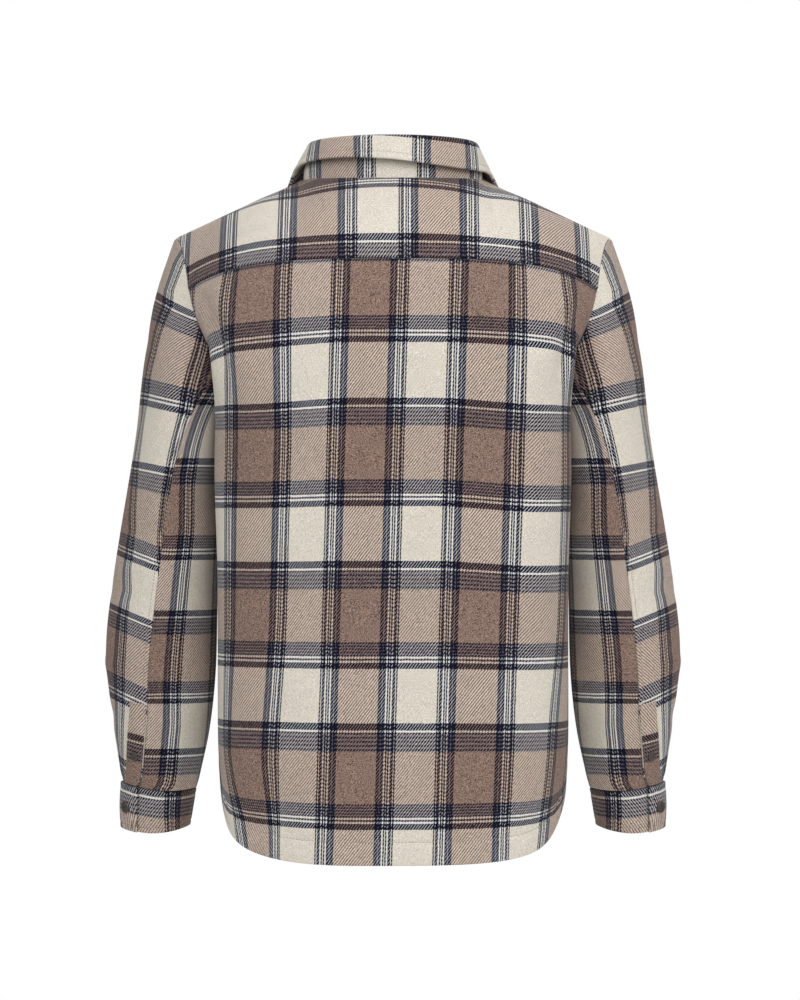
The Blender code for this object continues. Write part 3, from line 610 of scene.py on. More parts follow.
# Under sleeve: height below the shoulders and distance down the check, then place across it
UNDER_SLEEVE_CHECK = (
    (0.096, -0.0900), (0.188, 0.0), (0.274, 0.0864), (0.358, 0.1748), (0.440, 0.2612), (0.518, 0.3495),
    (0.592, 0.4360), (0.648, 0.4930),
)
UNDER_SLEEVE_SEAM = (
    (0.225, -0.0037), (0.264, -0.0065), (0.314, -0.0130), (0.350, -0.0175), (0.640, -0.0190),
)
CUFF_CHECK_ACROSS = 0.0103
CUFF_CHECK_DOWN = 0.0864
PLACKET_CHECK_ACROSS = -0.012
PLACKET_CHECK_DOWN = 0.0510

# Creases, each a line from one point to another: across and down at its start and at
# its end, width, depth and bow. Back and fronts: across from the middle, down from the zero band.
BACK_CREASES = (
    (-0.226, -0.050, -0.180, 0.090, 0.010, -0.0045, 0.008),
    (0.226, -0.045, 0.184, 0.080, 0.010, -0.0042, -0.008),
    (-0.204, -0.055, -0.155, 0.100, 0.014, 0.0024, 0.010),
    (0.203, -0.050, 0.158, 0.090, 0.014, 0.0022, -0.009),
    (-0.175, 0.090, -0.060, 0.190, 0.016, -0.0011, 0.010),
    (0.170, 0.110, 0.070, 0.200, 0.015, -0.0010, -0.008),
    (-0.120, 0.300, -0.135, 0.520, 0.020, 0.0016, 0.008),
    (0.110, 0.330, 0.130, 0.540, 0.022, 0.0016, -0.006),
    (-0.020, 0.260, 0.010, 0.470, 0.026, -0.0010, 0.004),
    (0.060, 0.400, 0.050, 0.560, 0.018, 0.0010, 0.003),
)
FRONT_CREASES = (
    (0.190, 0.000, 0.150, 0.150, 0.014, -0.0020, 0.006),
    (0.120, 0.050, 0.060, 0.170, 0.018, -0.0012, 0.008),
    (0.110, 0.300, 0.125, 0.500, 0.022, 0.0016, 0.006),
    (0.060, 0.340, 0.055, 0.520, 0.018, -0.0011, 0.003),
)
# Sleeves: across is degrees round the sleeve, down the distance down it.
SLEEVE_CREASES = (
    (300.0, -0.010, 345.0, 0.060, 0.010, -0.0016, 0.004),
    (255.0, 0.020, 300.0, 0.085, 0.011, -0.0018, 0.004),
    (270.0, 0.150, 350.0, 0.185, 0.010, -0.0016, 0.004),
    (250.0, 0.185, 330.0, 0.215, 0.011, 0.0016, -0.004),
    (280.0, 0.235, 365.0, 0.250, 0.009, -0.0016, 0.003),
    (255.0, 0.270, 320.0, 0.300, 0.012, -0.0014, -0.003),
    (300.0, 0.330, 380.0, 0.352, 0.010, 0.0013, 0.004),
    (235.0, 0.360, 290.0, 0.372, 0.010, -0.0013, 0.002),
    (330.0, 0.395, 400.0, 0.405, 0.010, -0.0016, 0.003),
    (420.0, 0.150, 480.0, 0.190, 0.011, -0.0018, 0.004),
    (430.0, 0.220, 500.0, 0.235, 0.011, -0.0018, 0.003),
    (410.0, 0.290, 470.0, 0.305, 0.012, -0.0014, 0.003),
    (190.0, 0.120, 240.0, 0.150, 0.012, -0.0016, 0.003),
)
DEGREE_LENGTH = 0.0011
CREASE_STARTS = (-0.15, 0.4)
CREASE_ENDS = (0.6, 1.15)
BODY_CALM = 0.018
SLEEVE_CALM = 0.012


def middle_fall(surface, top_level):
    """Function from level to the distance down the middle of a surface, from the zero band."""
    levels = np.linspace(0, top_level, 400)
    line = np.array([surface(np.zeros(1), level)[0] for level in levels])
    lengths = lengths_along(line[None])[0]
    zero = np.interp(BAND_ZERO_Z, line[:, 2], lengths)
    return lambda level: zero - np.interp(level, levels, lengths)


def fall_at_height(surface, top_level):
    """Function from height to the distance down the middle of a surface, from the zero band."""
    levels = np.linspace(0, top_level, 400)
    heights = np.array([surface(np.zeros(1), level)[0, 2] for level in levels])
    fall = middle_fall(surface, top_level)
    return lambda height: fall(np.interp(height, heights, levels))


def from_middle(cloth):
    """Distance along each row from the middle of the jacket, below 0 to the left."""
    lengths = lengths_along(cloth.points)
    middle = [np.interp(0.0, places, row) for places, row in zip(cloth.across, lengths)]
    return lengths - np.array(middle)[:, None]


def seam_calm(cloth, sides, reach=BODY_CALM):
    """0 on the seams and 1 away from them, so that creases don't open a seam."""
    calm = np.ones(cloth.points.shape[:2])
    for side in sides:
        calm = calm * smoothstep(0.0, reach, cloth.distance(side))
    return calm


def even_out(first, last, step):
    return np.linspace(first, last, max(int(round(abs(last - first) / step)), 2) + 1)


def back_check(cloth, across, down):
    level_down = fall_at_height(back_points, YOKE_SEAM_ROW)(cloth.points[..., 2])
    follow = 1 - smoothstep(*BACK_BAND_LEVELS, down) + BACK_BAND_RISE * smoothstep(*BACK_BAND_RISES, down)
    check_down = level_down + follow * (down - level_down)
    left_drop, middle_drop, right_drop = read_table(BACK_BAND_DROP, check_down)
    side_drop = np.where(across < 0, left_drop, right_drop) - middle_drop
    check_down = check_down - middle_drop - side_drop * smoothstep(*BACK_SIDE_DROPS, np.abs(across))
    lean = BACK_CHECK_LEAN * (down - BACK_CHECK_LEAN_FROM)
    low = smoothstep(*BACK_CORNER_DOWN, down)
    lean += low * BACK_CORNER_LEAN["right"] * smoothstep(*BACK_CORNER_ACROSS, across)
    lean -= low * BACK_CORNER_LEAN["left"] * smoothstep(*BACK_CORNER_ACROSS, -across)
    drawn = BACK_LEFT_DRAW * smoothstep(*BACK_LEFT_DRAWN, -across)
    drawn = drawn + BACK_RIGHT_EDGE_DRAW * smoothstep(*BACK_RIGHT_EDGE_DRAWN, across)
    drawn = drawn * smoothstep(*BACK_DRAW_STARTS, down) * (1 - smoothstep(*BACK_DRAW_ENDS, down))
    drawn = drawn + BACK_RIGHT_DRAW * smoothstep(*BACK_RIGHT_DRAWN, across)
    return np.stack([across + lean - drawn + BACK_CHECK_ACROSS, check_down], axis=-1)


def back_relief(cloth, across, down):
    """Folds beside the armholes, waves of the hanging cloth, creases, and the turned and sewn edges."""
    side, level = np.abs(cloth.across), cloth.level
    beside_armhole = smoothstep(*ARMHOLE_FOLD_STARTS, level) * (1 - smoothstep(*ARMHOLE_FOLD_ENDS, level))
    fold = ARMHOLE_FOLD_DEPTH * bell(side - ARMHOLE_FOLD_AT, ARMHOLE_FOLD_WIDTH) * beside_armhole
    hang = np.cos(cloth.across * HANG_WAVES * math.pi + HANG_TURN) * (1 - side**4)
    fold += HANG_DEPTH * hang * (1 - smoothstep(*HANG_ENDS, level))
    fold += creased(across, down, BACK_CREASES)
    fold *= seam_calm(cloth, ("first", "last", "top"))
    fold += sunk_rows(cloth, bottom=[HEM_STITCH])
    past_hem = smoothstep(HEM_STITCH - HEM_RISE_WIDTH, HEM_STITCH + HEM_RISE_WIDTH, cloth.distance("bottom"))
    fold += HEM_RISE * (1 - past_hem)
    return fold - YOKE_TUCK * bell(cloth.distance("top"), YOKE_TUCK_WIDTH)


def make_back(wool, lining):
    grid = sampled(back_points, even_out(-1, 1, 0.012), even_out(0, YOKE_SEAM_ROW, 0.05))
    cloth = cloth_over(grid, 1, bottom=stitched(HEM_STITCH))
    across, down = from_middle(cloth), middle_fall(back_points, YOKE_SEAM_ROW)(cloth.level)
    cloth.uv = back_check(cloth, across, down)
    cloth = cloth.moved(back_relief(cloth, across, down) + CLOTH / 2)
    piece = make_shell("back_panel", cloth, CLOTH, wool, lining)
    declare_cloth(piece, cloth, "back")
    return [cloth.moved(CLOTH / 2).line("bottom", HEM_STITCH)]


def make_yoke(wool, lining):
    armhole = [1 - mark / YOKE_END_LENGTH for mark in RIM_MARKS]
    neck = [YOKE_NECK_SHARE + away for away in BESIDE_NECK]
    half = [*even_out(0, neck[0], 0.013), *neck[1:], *even_out(neck[-1], armhole[-1], 0.014)[1:]]
    half = np.array(half + armhole[-2::-1])
    acrosses = np.concatenate([-half[:0:-1], half])
    lower = sampled(yoke_points, acrosses, even_out(0, 1, 0.02)).transpose(1, 0, 2)
    upper = sampled(yoke_points, acrosses, even_out(1, 2, 0.05)).transpose(1, 0, 2)
    lower = laid(lower, RIM_MARKS, RIM_MARKS, STEP).transpose(1, 0, 2)
    upper = laid(upper, (0.0,), RIM_MARKS, STEP).transpose(1, 0, 2)
    grid = np.concatenate([lower, upper[1:]])
    marks = {side: RIM_MARKS for side in ("first", "last", "bottom", "top")}
    cloth = Cloth(grid[..., :3], grid[..., 3], grid[..., 4], 1, marks)
    x = cloth.points[..., 0]
    across = x + np.sign(x) * YOKE_SIDE_STRETCH * np.clip(np.abs(x) - YOKE_SIDE_X, 0, None) ** 2
    up = cloth.distance("bottom")
    down = YOKE_SEAM_DOWN - YOKE_DOWN_STRETCH * up
    cloth.uv = np.stack([across * YOKE_CHECK_STRETCH + YOKE_CHECK_ACROSS, down], axis=-1)
    over_neck = (np.arange(len(grid) - 1) >= len(lower) - 1)[:, None]
    middles = np.abs(0.5 * (acrosses[:-1] + acrosses[1:]))[None]
    keep = ~(over_neck & (middles < YOKE_NECK_SHARE))
    cloth = cloth.moved(YOKE_EDGE_RISE * (1 - smoothstep(*YOKE_EDGE_RISE_ENDS, up)) + CLOTH / 2)
    piece = make_shell("shoulder_yoke", cloth, CLOTH, wool, lining, keep=keep)
    declare_cloth(piece, cloth, "yoke", kept=keep)


def front_cloth(grid, stepped):
    cloth = cloth_over(grid, -1, first=stitched(*FRONT_STITCHES), bottom=stitched(HEM_STITCH))
    across, down = from_middle(cloth), middle_fall(front_points, 2)(cloth.level)
    fold = creased(across, down, FRONT_CREASES) * seam_calm(cloth, ("first", "last", "top"))
    fold += sunk_rows(cloth, bottom=[HEM_STITCH], first=FRONT_STITCHES)
    step = 1 - smoothstep(STEP_FULL_X, STEP_END_X, cloth.points[..., 0])
    fold += stepped * step * (CLOTH + STEP_GAP)
    turn = 1 if stepped else -1
    cloth.uv = np.stack([turn * across + FRONT_CHECK_ACROSS, down], axis=-1)
    return cloth.moved(fold + CLOTH / 2)


def make_fronts(wool, lining):
    acrosses = np.unique(np.concatenate([even_out(-OVERLAP_SHARE, 1, 0.012), [0.0, FRONT_NECK_SHARE]]))
    grid = sampled(front_points, acrosses, even_out(0, 2, 0.0125))
    right, left = front_cloth(grid, 0), front_cloth(grid, 1).mirrored()
    for name, cloth in (("front_panel_right", right), ("front_panel_left", left)):
        node = name.replace("_panel", "")
        piece = make_shell(name, cloth, CLOTH, wool, lining)
        declare_cloth(piece, cloth, node)
    out = [right.moved(CLOTH / 2), left.moved(CLOTH / 2)]
    lines = [panel.line("bottom", HEM_STITCH) for panel in out]
    return lines + [out[1].line("last", inset) for inset in FRONT_STITCHES]


# Sleeves, as on +X


def edge_line(surface, levels, facing):
    """Outer edge of the body cloth along an armhole, with its outward normals."""
    beside = np.array([[surface(np.array([0.998, 1.0]), level)] for level in levels])[:, 0]
    along, up = beside[:, 1] - beside[:, 0], np.gradient(beside[:, 1], axis=0)
    normals = unit(np.cross(along, up)) * facing
    return np.concatenate([beside[:, 1] + normals * CLOTH, normals], axis=1)


class Sleeve:
    """Outer surface of the sleeve: row counts levels from the armhole, degrees go round it."""

    def __init__(self):
        back = edge_line(back_points, np.linspace(UNDERARM_ROW, YOKE_SEAM_ROW, 90), 1)
        yoke = edge_line(yoke_points, np.linspace(0, 2, 81), 1)
        front = edge_line(front_points, np.linspace(1, 2, 90), -1)
        forward = np.concatenate([yoke[40:-1], front[::-1]])
        backward = np.concatenate([back[:-1], yoke[:41]])
        halves = []
        for half in (forward, backward):
            lengths = lengths_along(half[None])[0]
            even = np.linspace(0, lengths[-1], 160)
            halves.append(np.stack([np.interp(even, lengths, half[:, k]) for k in range(6)], axis=1))
        edge = np.concatenate([halves[0], halves[1][1:]])
        self.edge = edge[:, :3] + np.array([ARMHOLE_GAP, 0.0, 0.0])
        self.facing = edge[:, 3:]
        self.turns = np.concatenate([np.linspace(0, 180, 160), np.linspace(180, 360, 160)[1:]])

    def at_edge(self, values, degrees):
        turned = np.asarray(degrees) % 360
        return np.stack([np.interp(turned, self.turns, values[:, k]) for k in range(3)], axis=-1)

    def points(self, degrees, row):
        rings = [self.at_edge(self.edge, degrees)]
        rings += [ring_points(level, degrees) for level in SLEEVE_LEVELS.values()]
        points = spline(rings, row)
        if 0 < row < 1:
            outer = np.clip(np.cos(np.radians(degrees)), 0, None)
            points[..., 0] += CAP_BULGE * math.sin(math.pi * row) * outer
        return points

    def strip(self, start, end, columns, **marks):
        """Cloth between two seams, each a function that gives degrees for a row."""
        def turns(row):
            return np.linspace(start(row), end(row), columns + 1)

        return cloth_over(sampled(self.points, turns, even_out(0, WRIST_ROW, 0.045)), -1, **marks)

    def raised(self, cloth, height):
        """The cloth moved along normals that turn into the body's own at the armhole."""
        normals = cloth.normals()
        body = unit(self.at_edge(self.facing, cloth.across))
        alike = np.sum(normals * body, axis=-1)
        share = smoothstep(*HEAD_ALIKE, alike) * (1 - smoothstep(*HEAD_ENDS, cloth.level))
        return cloth.moved(height, unit(normals * (1 - share[..., None]) + body * share[..., None]))


def ring_points(level, degrees):
    size = dict(zip(SLEEVE_COLUMNS, level))
    out = 0.5 + 0.5 * np.cos(np.radians(degrees))
    depth = np.sin(np.radians(degrees))
    x = size["inn_x"] + (size["out_x"] - size["inn_x"]) * out
    y = size["middle_y"] + size["half_depth"] * depth
    z = size["inn_z"] + (size["out_z"] - size["inn_z"]) * out - size["drop"] * depth**2
    return np.stack([x, y, z], axis=-1)


def hind_seam(row):
    rows, degrees = zip(*HIND_SEAM)
    return float(np.interp(row, rows, degrees))


def read_table(table, at):
    """Other columns of a table, read at places in its first column."""
    places, *columns = np.array(table).T
    return [np.interp(at, places, column) for column in columns]


def top_sleeve_check(cloth):
    below = -cloth.points[..., 2]
    slope = read_table(TOP_SLEEVE_CHECK, below)[1]
    below_middle = below + slope * (cloth.points[..., 0] - TOP_SLEEVE_CHECK_X)
    down = read_table(TOP_SLEEVE_CHECK, below_middle)[0]
    seam, stretch = read_table(TOP_SLEEVE_SEAM, below)
    away = cloth.distance("first")
    near = np.minimum(away, TOP_SLEEVE_STRETCHED)
    return np.stack([seam - stretch * near - (away - near), down], axis=-1)


def under_sleeve_check(cloth):
    below = -cloth.points[..., 2]
    across = read_table(UNDER_SLEEVE_SEAM, below)[0] + cloth.distance("last")
    return np.stack([across, read_table(UNDER_SLEEVE_CHECK, below)[0]], axis=-1)


def sleeve_relief(cloth):
    """Creases of a sleeve, and the shallow gathers where the cuff draws it in."""
    turn, down = cloth.across * DEGREE_LENGTH, cloth.uv[..., 1]
    table = [(a * DEGREE_LENGTH, b, c * DEGREE_LENGTH, d, *rest) for a, b, c, d, *rest in SLEEVE_CREASES]
    height = creased(turn, down, table)
    near_cuff = smoothstep(*GATHER_ENDS, cloth.distance("top"))
    height = height + GATHER_DEPTH * near_cuff * np.sin(np.radians(cloth.across) * GATHERS + GATHER_TURN)
    return height * seam_calm(cloth, ("first", "last", "bottom", "top"), SLEEVE_CALM)


def make_sleeves(wool, lining):
    """Both sleeves with their cuffs and plackets. Returns the stitch rows."""
    sleeve = Sleeve()
    seam_marks = stitched(SEAM_STITCH)
    top = sleeve.strip(hind_seam, lambda row: FORE_SEAM_DEGREES + 360, 90, first=seam_marks)
    under = sleeve.strip(lambda row: FORE_SEAM_DEGREES, hind_seam, 40)
    top.uv, under.uv = top_sleeve_check(top), under_sleeve_check(under)
    top = sleeve.raised(top, sleeve_relief(top) + sunk_rows(top, first=[SEAM_STITCH]) - CLOTH / 2)
    under = sleeve.raised(under, sleeve_relief(under) - CLOTH / 2)
    cuff, placket = cuff_cloth(), placket_cloth(sleeve)
    pieces = (
        ("sleeve_top_panel", "sleeve_top", top, CLOTH, SEAM_RIM, "hung"),
        ("sleeve_under_panel", "sleeve_under", under, CLOTH, SEAM_RIM, "hung"),
        ("cuff_band", "cuff", cuff, CUFF_CLOTH, FREE_RIM, "folded"),
        ("placket_strip", "sleeve_placket", placket, PLACKET_CLOTH, SEAM_RIM, "folded"),
    )
    lines = [top.moved(CLOTH / 2).line("first", SEAM_STITCH)]
    cuff_out = cuff.moved(CUFF_CLOTH / 2)
    lines += [cuff_out.line(side, CUFF_STITCH)[4:-4] for side in ("bottom", "top", "first")]
    placket_out = placket.moved(PLACKET_CLOTH / 2)
    lines += [placket_out.line("bottom", inset)[3:-3] for inset in (PLACKET_STITCH, PLACKET_CROSS)]
    for name, node, cloth, thickness, rim, held in pieces:
        for side, half in (("right", cloth), ("left", cloth.mirrored())):
            piece = make_shell(f"{name}_{side}", half, thickness, wool, lining, rim)
            declare_cloth(piece, half, f"{node}_{side}")
    return lines + [line * OTHER_SIDE for line in lines]


def cuff_cloth():
    """Cuff from its outer end, round the wrist, to its inner end below the outer one."""
    levels = np.array(list(CUFF_LEVELS.values()))

    def wrapped(turns, row):
        level = spline(levels, row)
        ring = ring_points(level, CUFF_EDGE_DEGREES + turns)
        middle = 0.5 * (ring_points(level, 0.0) + ring_points(level, 180.0))
        lift = CUFF_LIFT * (1 - smoothstep(*CUFF_EASE_DEGREES, turns))
        return ring + unit(ring - middle) * lift[:, None]

    turns = np.linspace(0, 360 + CUFF_OVERLAP_DEGREES, 130)
    grid = sampled(wrapped, turns, np.linspace(len(levels) - 1, 0, 24))
    marks = stitched(CUFF_STITCH)
    cloth = cloth_over(grid, 1, first=marks, bottom=marks, top=marks, step=CUFF_STEP)
    across = CUFF_CHECK_ACROSS + cloth.distance("last")
    cloth.uv = np.stack([across, CUFF_CHECK_DOWN + cloth.distance("top")], axis=-1)
    relief = sunk_rows(cloth, bottom=[CUFF_STITCH], top=[CUFF_STITCH], first=[CUFF_STITCH])
    return cloth.moved(relief - CUFF_CLOTH / 2)


def placket_cloth(sleeve):
    """Strip laid on the top sleeve along the slit at the hind seam."""

    def turns(row):
        width = np.interp(row, PLACKET_ROWS, PLACKET_DEGREES)
        return np.linspace(hind_seam(row) + PLACKET_FROM_SEAM, hind_seam(row) + width, 12)

    grid = sampled(sleeve.points, turns, np.linspace(*PLACKET_ROWS, 30))
    marks = stitched(PLACKET_STITCH)
    bottom = stitched(PLACKET_STITCH, PLACKET_CROSS)
    cloth = cloth_over(grid, -1, first=marks, last=marks, bottom=bottom, step=PLACKET_STEP)
    across = PLACKET_CHECK_ACROSS - cloth.distance("first")
    cloth.uv = np.stack([across, PLACKET_CHECK_DOWN + cloth.distance("bottom")], axis=-1)
    edges = [PLACKET_STITCH]
    relief = sunk_rows(cloth, first=edges, last=edges, bottom=[PLACKET_CROSS])
    return cloth.moved(PLACKET_SINK * relief + PLACKET_LIFT + PLACKET_CLOTH / 2)


# Collar


def neck_line():
    """Neck edge from the middle of the back to the middle of the front, on +X."""
    back = ridge_points(np.linspace(0, YOKE_NECK_SHARE, 40))
    front = front_top_points(np.linspace(FRONT_NECK_SHARE, 0, 44))
    line = np.concatenate([back, front])
    lengths = lengths_along(line[None])[0]
    even = np.linspace(0, lengths[-1], 64)
    return np.stack([np.interp(even, lengths, line[:, k]) for k in range(3)], axis=1)


def stand_point(line, along, up):
    """Outer side of the collar stand: along runs -1 to 1 round the neck, up 0 to 1 from its seam."""
    base = spline(line, abs(along) * (len(line) - 1))
    towards_back = math.cos(along * math.pi / 2) ** 3
    height = STAND_HEIGHT_FRONT + (STAND_HEIGHT_BACK - STAND_HEIGHT_FRONT) * towards_back
    draw_in = (1 - (1 - STAND_LEAN) * up) * (1 - STAND_INSET / NECK_HALF_WIDTH)
    x = math.copysign(base[0] * draw_in, along)
    return np.array([x, base[1] * draw_in, base[2] - STAND_SINK + height * up])


def leaf_section(line, along):
    """Inner side of the collar leaf at one place: up from the stand, over, and down outside it."""
    table = np.array(list(LEAF_LEVELS.values()))
    skew = COLLAR_SKEW * math.sin(2 * math.pi * min(max(along, -0.5), 0.5))
    fall = np.interp(abs(along), table[:, 0], table[:, 1]) + skew
    flare = np.interp(abs(along), table[:, 0], table[:, 2])
    top = stand_point(line, along, 1.0)
    out = unit(np.array([top[0], top[1], 0.0]))
    start = np.array(LEAF_START)
    finish = start + np.array([flare, -fall])
    falls = [start + (finish - start) * share for share in np.linspace(0, 1, 5)]
    bends = [*LEAF_ROLL, *falls]
    corners = np.array([top + out * away + np.array([0, 0, up]) for away, up in bends])
    return np.array([spline(corners, at) for at in np.linspace(0, len(corners) - 1, 30)])


def make_collar(wool):
    line = neck_line()
    arounds = even_out(-STAND_END, STAND_END, 0.015)
    grid = sampled(
        lambda places, up: np.array([stand_point(line, place, up) for place in places]),
        arounds, np.linspace(0, 1, 12),
    )
    stand = cloth_over(grid, 1)
    across = from_middle(stand) * STAND_CHECK_STRETCH + STAND_CHECK_ACROSS
    stand.uv = np.stack([across, STAND_CHECK_DOWN + stand.distance("top")], axis=-1)
    swell = bell(np.abs(stand.across) - STAND_SWELL_AT, STAND_SWELL_WIDTH)
    stand = stand.moved(STAND_SWELL * swell * np.sin(math.pi * stand.level) - CLOTH / 2)
    piece = make_shell("collar_stand_band", stand, CLOTH, wool, wool)
    declare_cloth(piece, stand, "collar_stand")
    sections, arounds = [], even_out(-LEAF_END, LEAF_END, 0.015)
    for along in arounds:
        points = leaf_section(line, along)
        level = np.linspace(0, 1, len(points))
        sections.append(np.column_stack([points, np.full(len(points), along), level]))
    marks = stitched(COLLAR_STITCH)
    grid = np.array(sections).transpose(1, 0, 2)[::-1]
    leaf = cloth_over(grid, 1, first=marks, last=marks, bottom=marks, step=LEAF_STEP)
    across = from_middle(leaf) + LEAF_CHECK_ACROSS
    down = LEAF_CHECK_DOWN - LEAF_CHECK_TILT * leaf.points[..., 0] + leaf.distance("top")
    leaf.uv = np.stack([across, down], axis=-1)
    relief = sunk_rows(leaf, bottom=[COLLAR_STITCH], first=[COLLAR_STITCH], last=[COLLAR_STITCH])
    leaf = leaf.moved(relief + COLLAR_CLOTH / 2)
    piece = make_shell("collar_leaf_fold", leaf, COLLAR_CLOTH, wool, wool, FREE_RIM)
    declare_cloth(piece, leaf, "collar_leaf")
    out = leaf.moved(COLLAR_CLOTH / 2)
    return [out.line(side, COLLAR_STITCH)[5:-5] for side in ("bottom", "first", "last")]


# Materials


def linear(hex_colour):
    """sRGB hex value to linear red, green, blue and alpha."""
    channels = [int(hex_colour[k : k + 2], 16) / 255 for k in (1, 3, 5)]
    return [c / 12.92 if c <= 0.04045 else ((c + 0.055) / 1.055) ** 2.4 for c in channels] + [1.0]


def add(tree, kind, links=None, **settings):
    """One node with its settings and links: a link's name or number is an input of the node.

    A link comes from a socket, or from a node's first output. Any other value is a constant.
    """
    node = tree.nodes.new(kind)
    for name, value in settings.items():
        setattr(node, name, value)
    for name, value in (links or {}).items():
        if isinstance(value, bpy.types.Node):
            value = value.outputs[0]
        if isinstance(value, bpy.types.NodeSocket):
            tree.links.new(value, node.inputs[name])
        else:
            node.inputs[name].default_value = value
    return node


def new_material(name, **sockets):
    """A material with its shader's own sockets set to constant values."""
    material = bpy.data.materials.new(name)
    material.use_nodes = True
    shader = material.node_tree.nodes["Principled BSDF"]
    for socket, value in sockets.items():
        shader.inputs[socket.replace("_", " ")].default_value = value
    return material, material.node_tree, shader


BROWN, CREAM, NAVY, WHITE, MOLE = "#877065", "#dad3c6", "#070920", "#dfdedb", "#58545f"
# Threads of one repeat, in order: how many, and of which yarn
WARP_GROUP = (
    (5, NAVY), (1, MOLE), (4, NAVY), (2, WHITE), (2, NAVY), (1, WHITE), (2, NAVY), (2, WHITE), (4, NAVY),
    (1, CREAM), (2, NAVY),
)
WARP_THREADS = (*WARP_GROUP, (54, CREAM), *WARP_GROUP[::-1], (54, BROWN))
WEFT_THREADS = (
    *((2, NAVY), (1, MOLE)) * 4, (2, NAVY), (2, WHITE), (2, NAVY), (2, WHITE), (6, NAVY), (53, CREAM),
    (7, NAVY), (2, WHITE), *((2, NAVY), (2, MOLE)) * 4, (2, NAVY), (1, MOLE), (53, BROWN),
)
# Where a pale yarn lies over a darker one, it is darkened down to these colours at most: partly the darker
# nap veiling it, partly painted shade of the pale yarn lying low among the darker ones
VEIL_AND_SHADE_OVER_WARP = {NAVY: "#a0a3ac", MOLE: "#b4a8a0", BROWN: "#cec0b3", CREAM: "#ffffff", WHITE: "#ffffff"}
VEIL_AND_SHADE_OVER_WEFT = {NAVY: "#b6b7bd", MOLE: "#b4a8a0", BROWN: "#cec0b3", CREAM: "#ffffff", WHITE: "#ffffff"}
NAVY_SPREAD = 0.42
YARN_EDGE = 0.5
FIBRE_SIZE = 0.0011
NAP_SIZE = 0.0010
MOTTLE_SIZE = 0.022
# Size of the waves in which the threads wander, and how far
WANDER_SIZE = 0.006
WANDER = 0.0009
LINING_CLOUD = 0.03
METAL_CLOUD = 0.0025
LINING_RIB = 0.000952
THREAD_TWIST = 0.000349
# Length of one wave of a wave texture at scale 1
WAVE_LENGTH = math.pi / 10


def thread_colours(tree, threads, place, dyes):
    """Colour that the dyes give to the thread at a place in the repeat, and 1 where it is navy."""
    ramp = add(tree, "ShaderNodeValToRGB", {0: place})
    ramp.color_ramp.interpolation = "CONSTANT"
    stops = ramp.color_ramp.elements
    count = sum(number for number, _ in threads)
    start = 0
    for index, (number, yarn) in enumerate(threads):
        stop = stops[0] if index == 0 else stops.new(start / count)
        stop.position = start / count
        stop.color = [*linear(dyes[yarn])[:3], float(yarn == NAVY)]
        start += number
    stops.remove(stops[len(threads)])
    return ramp.outputs


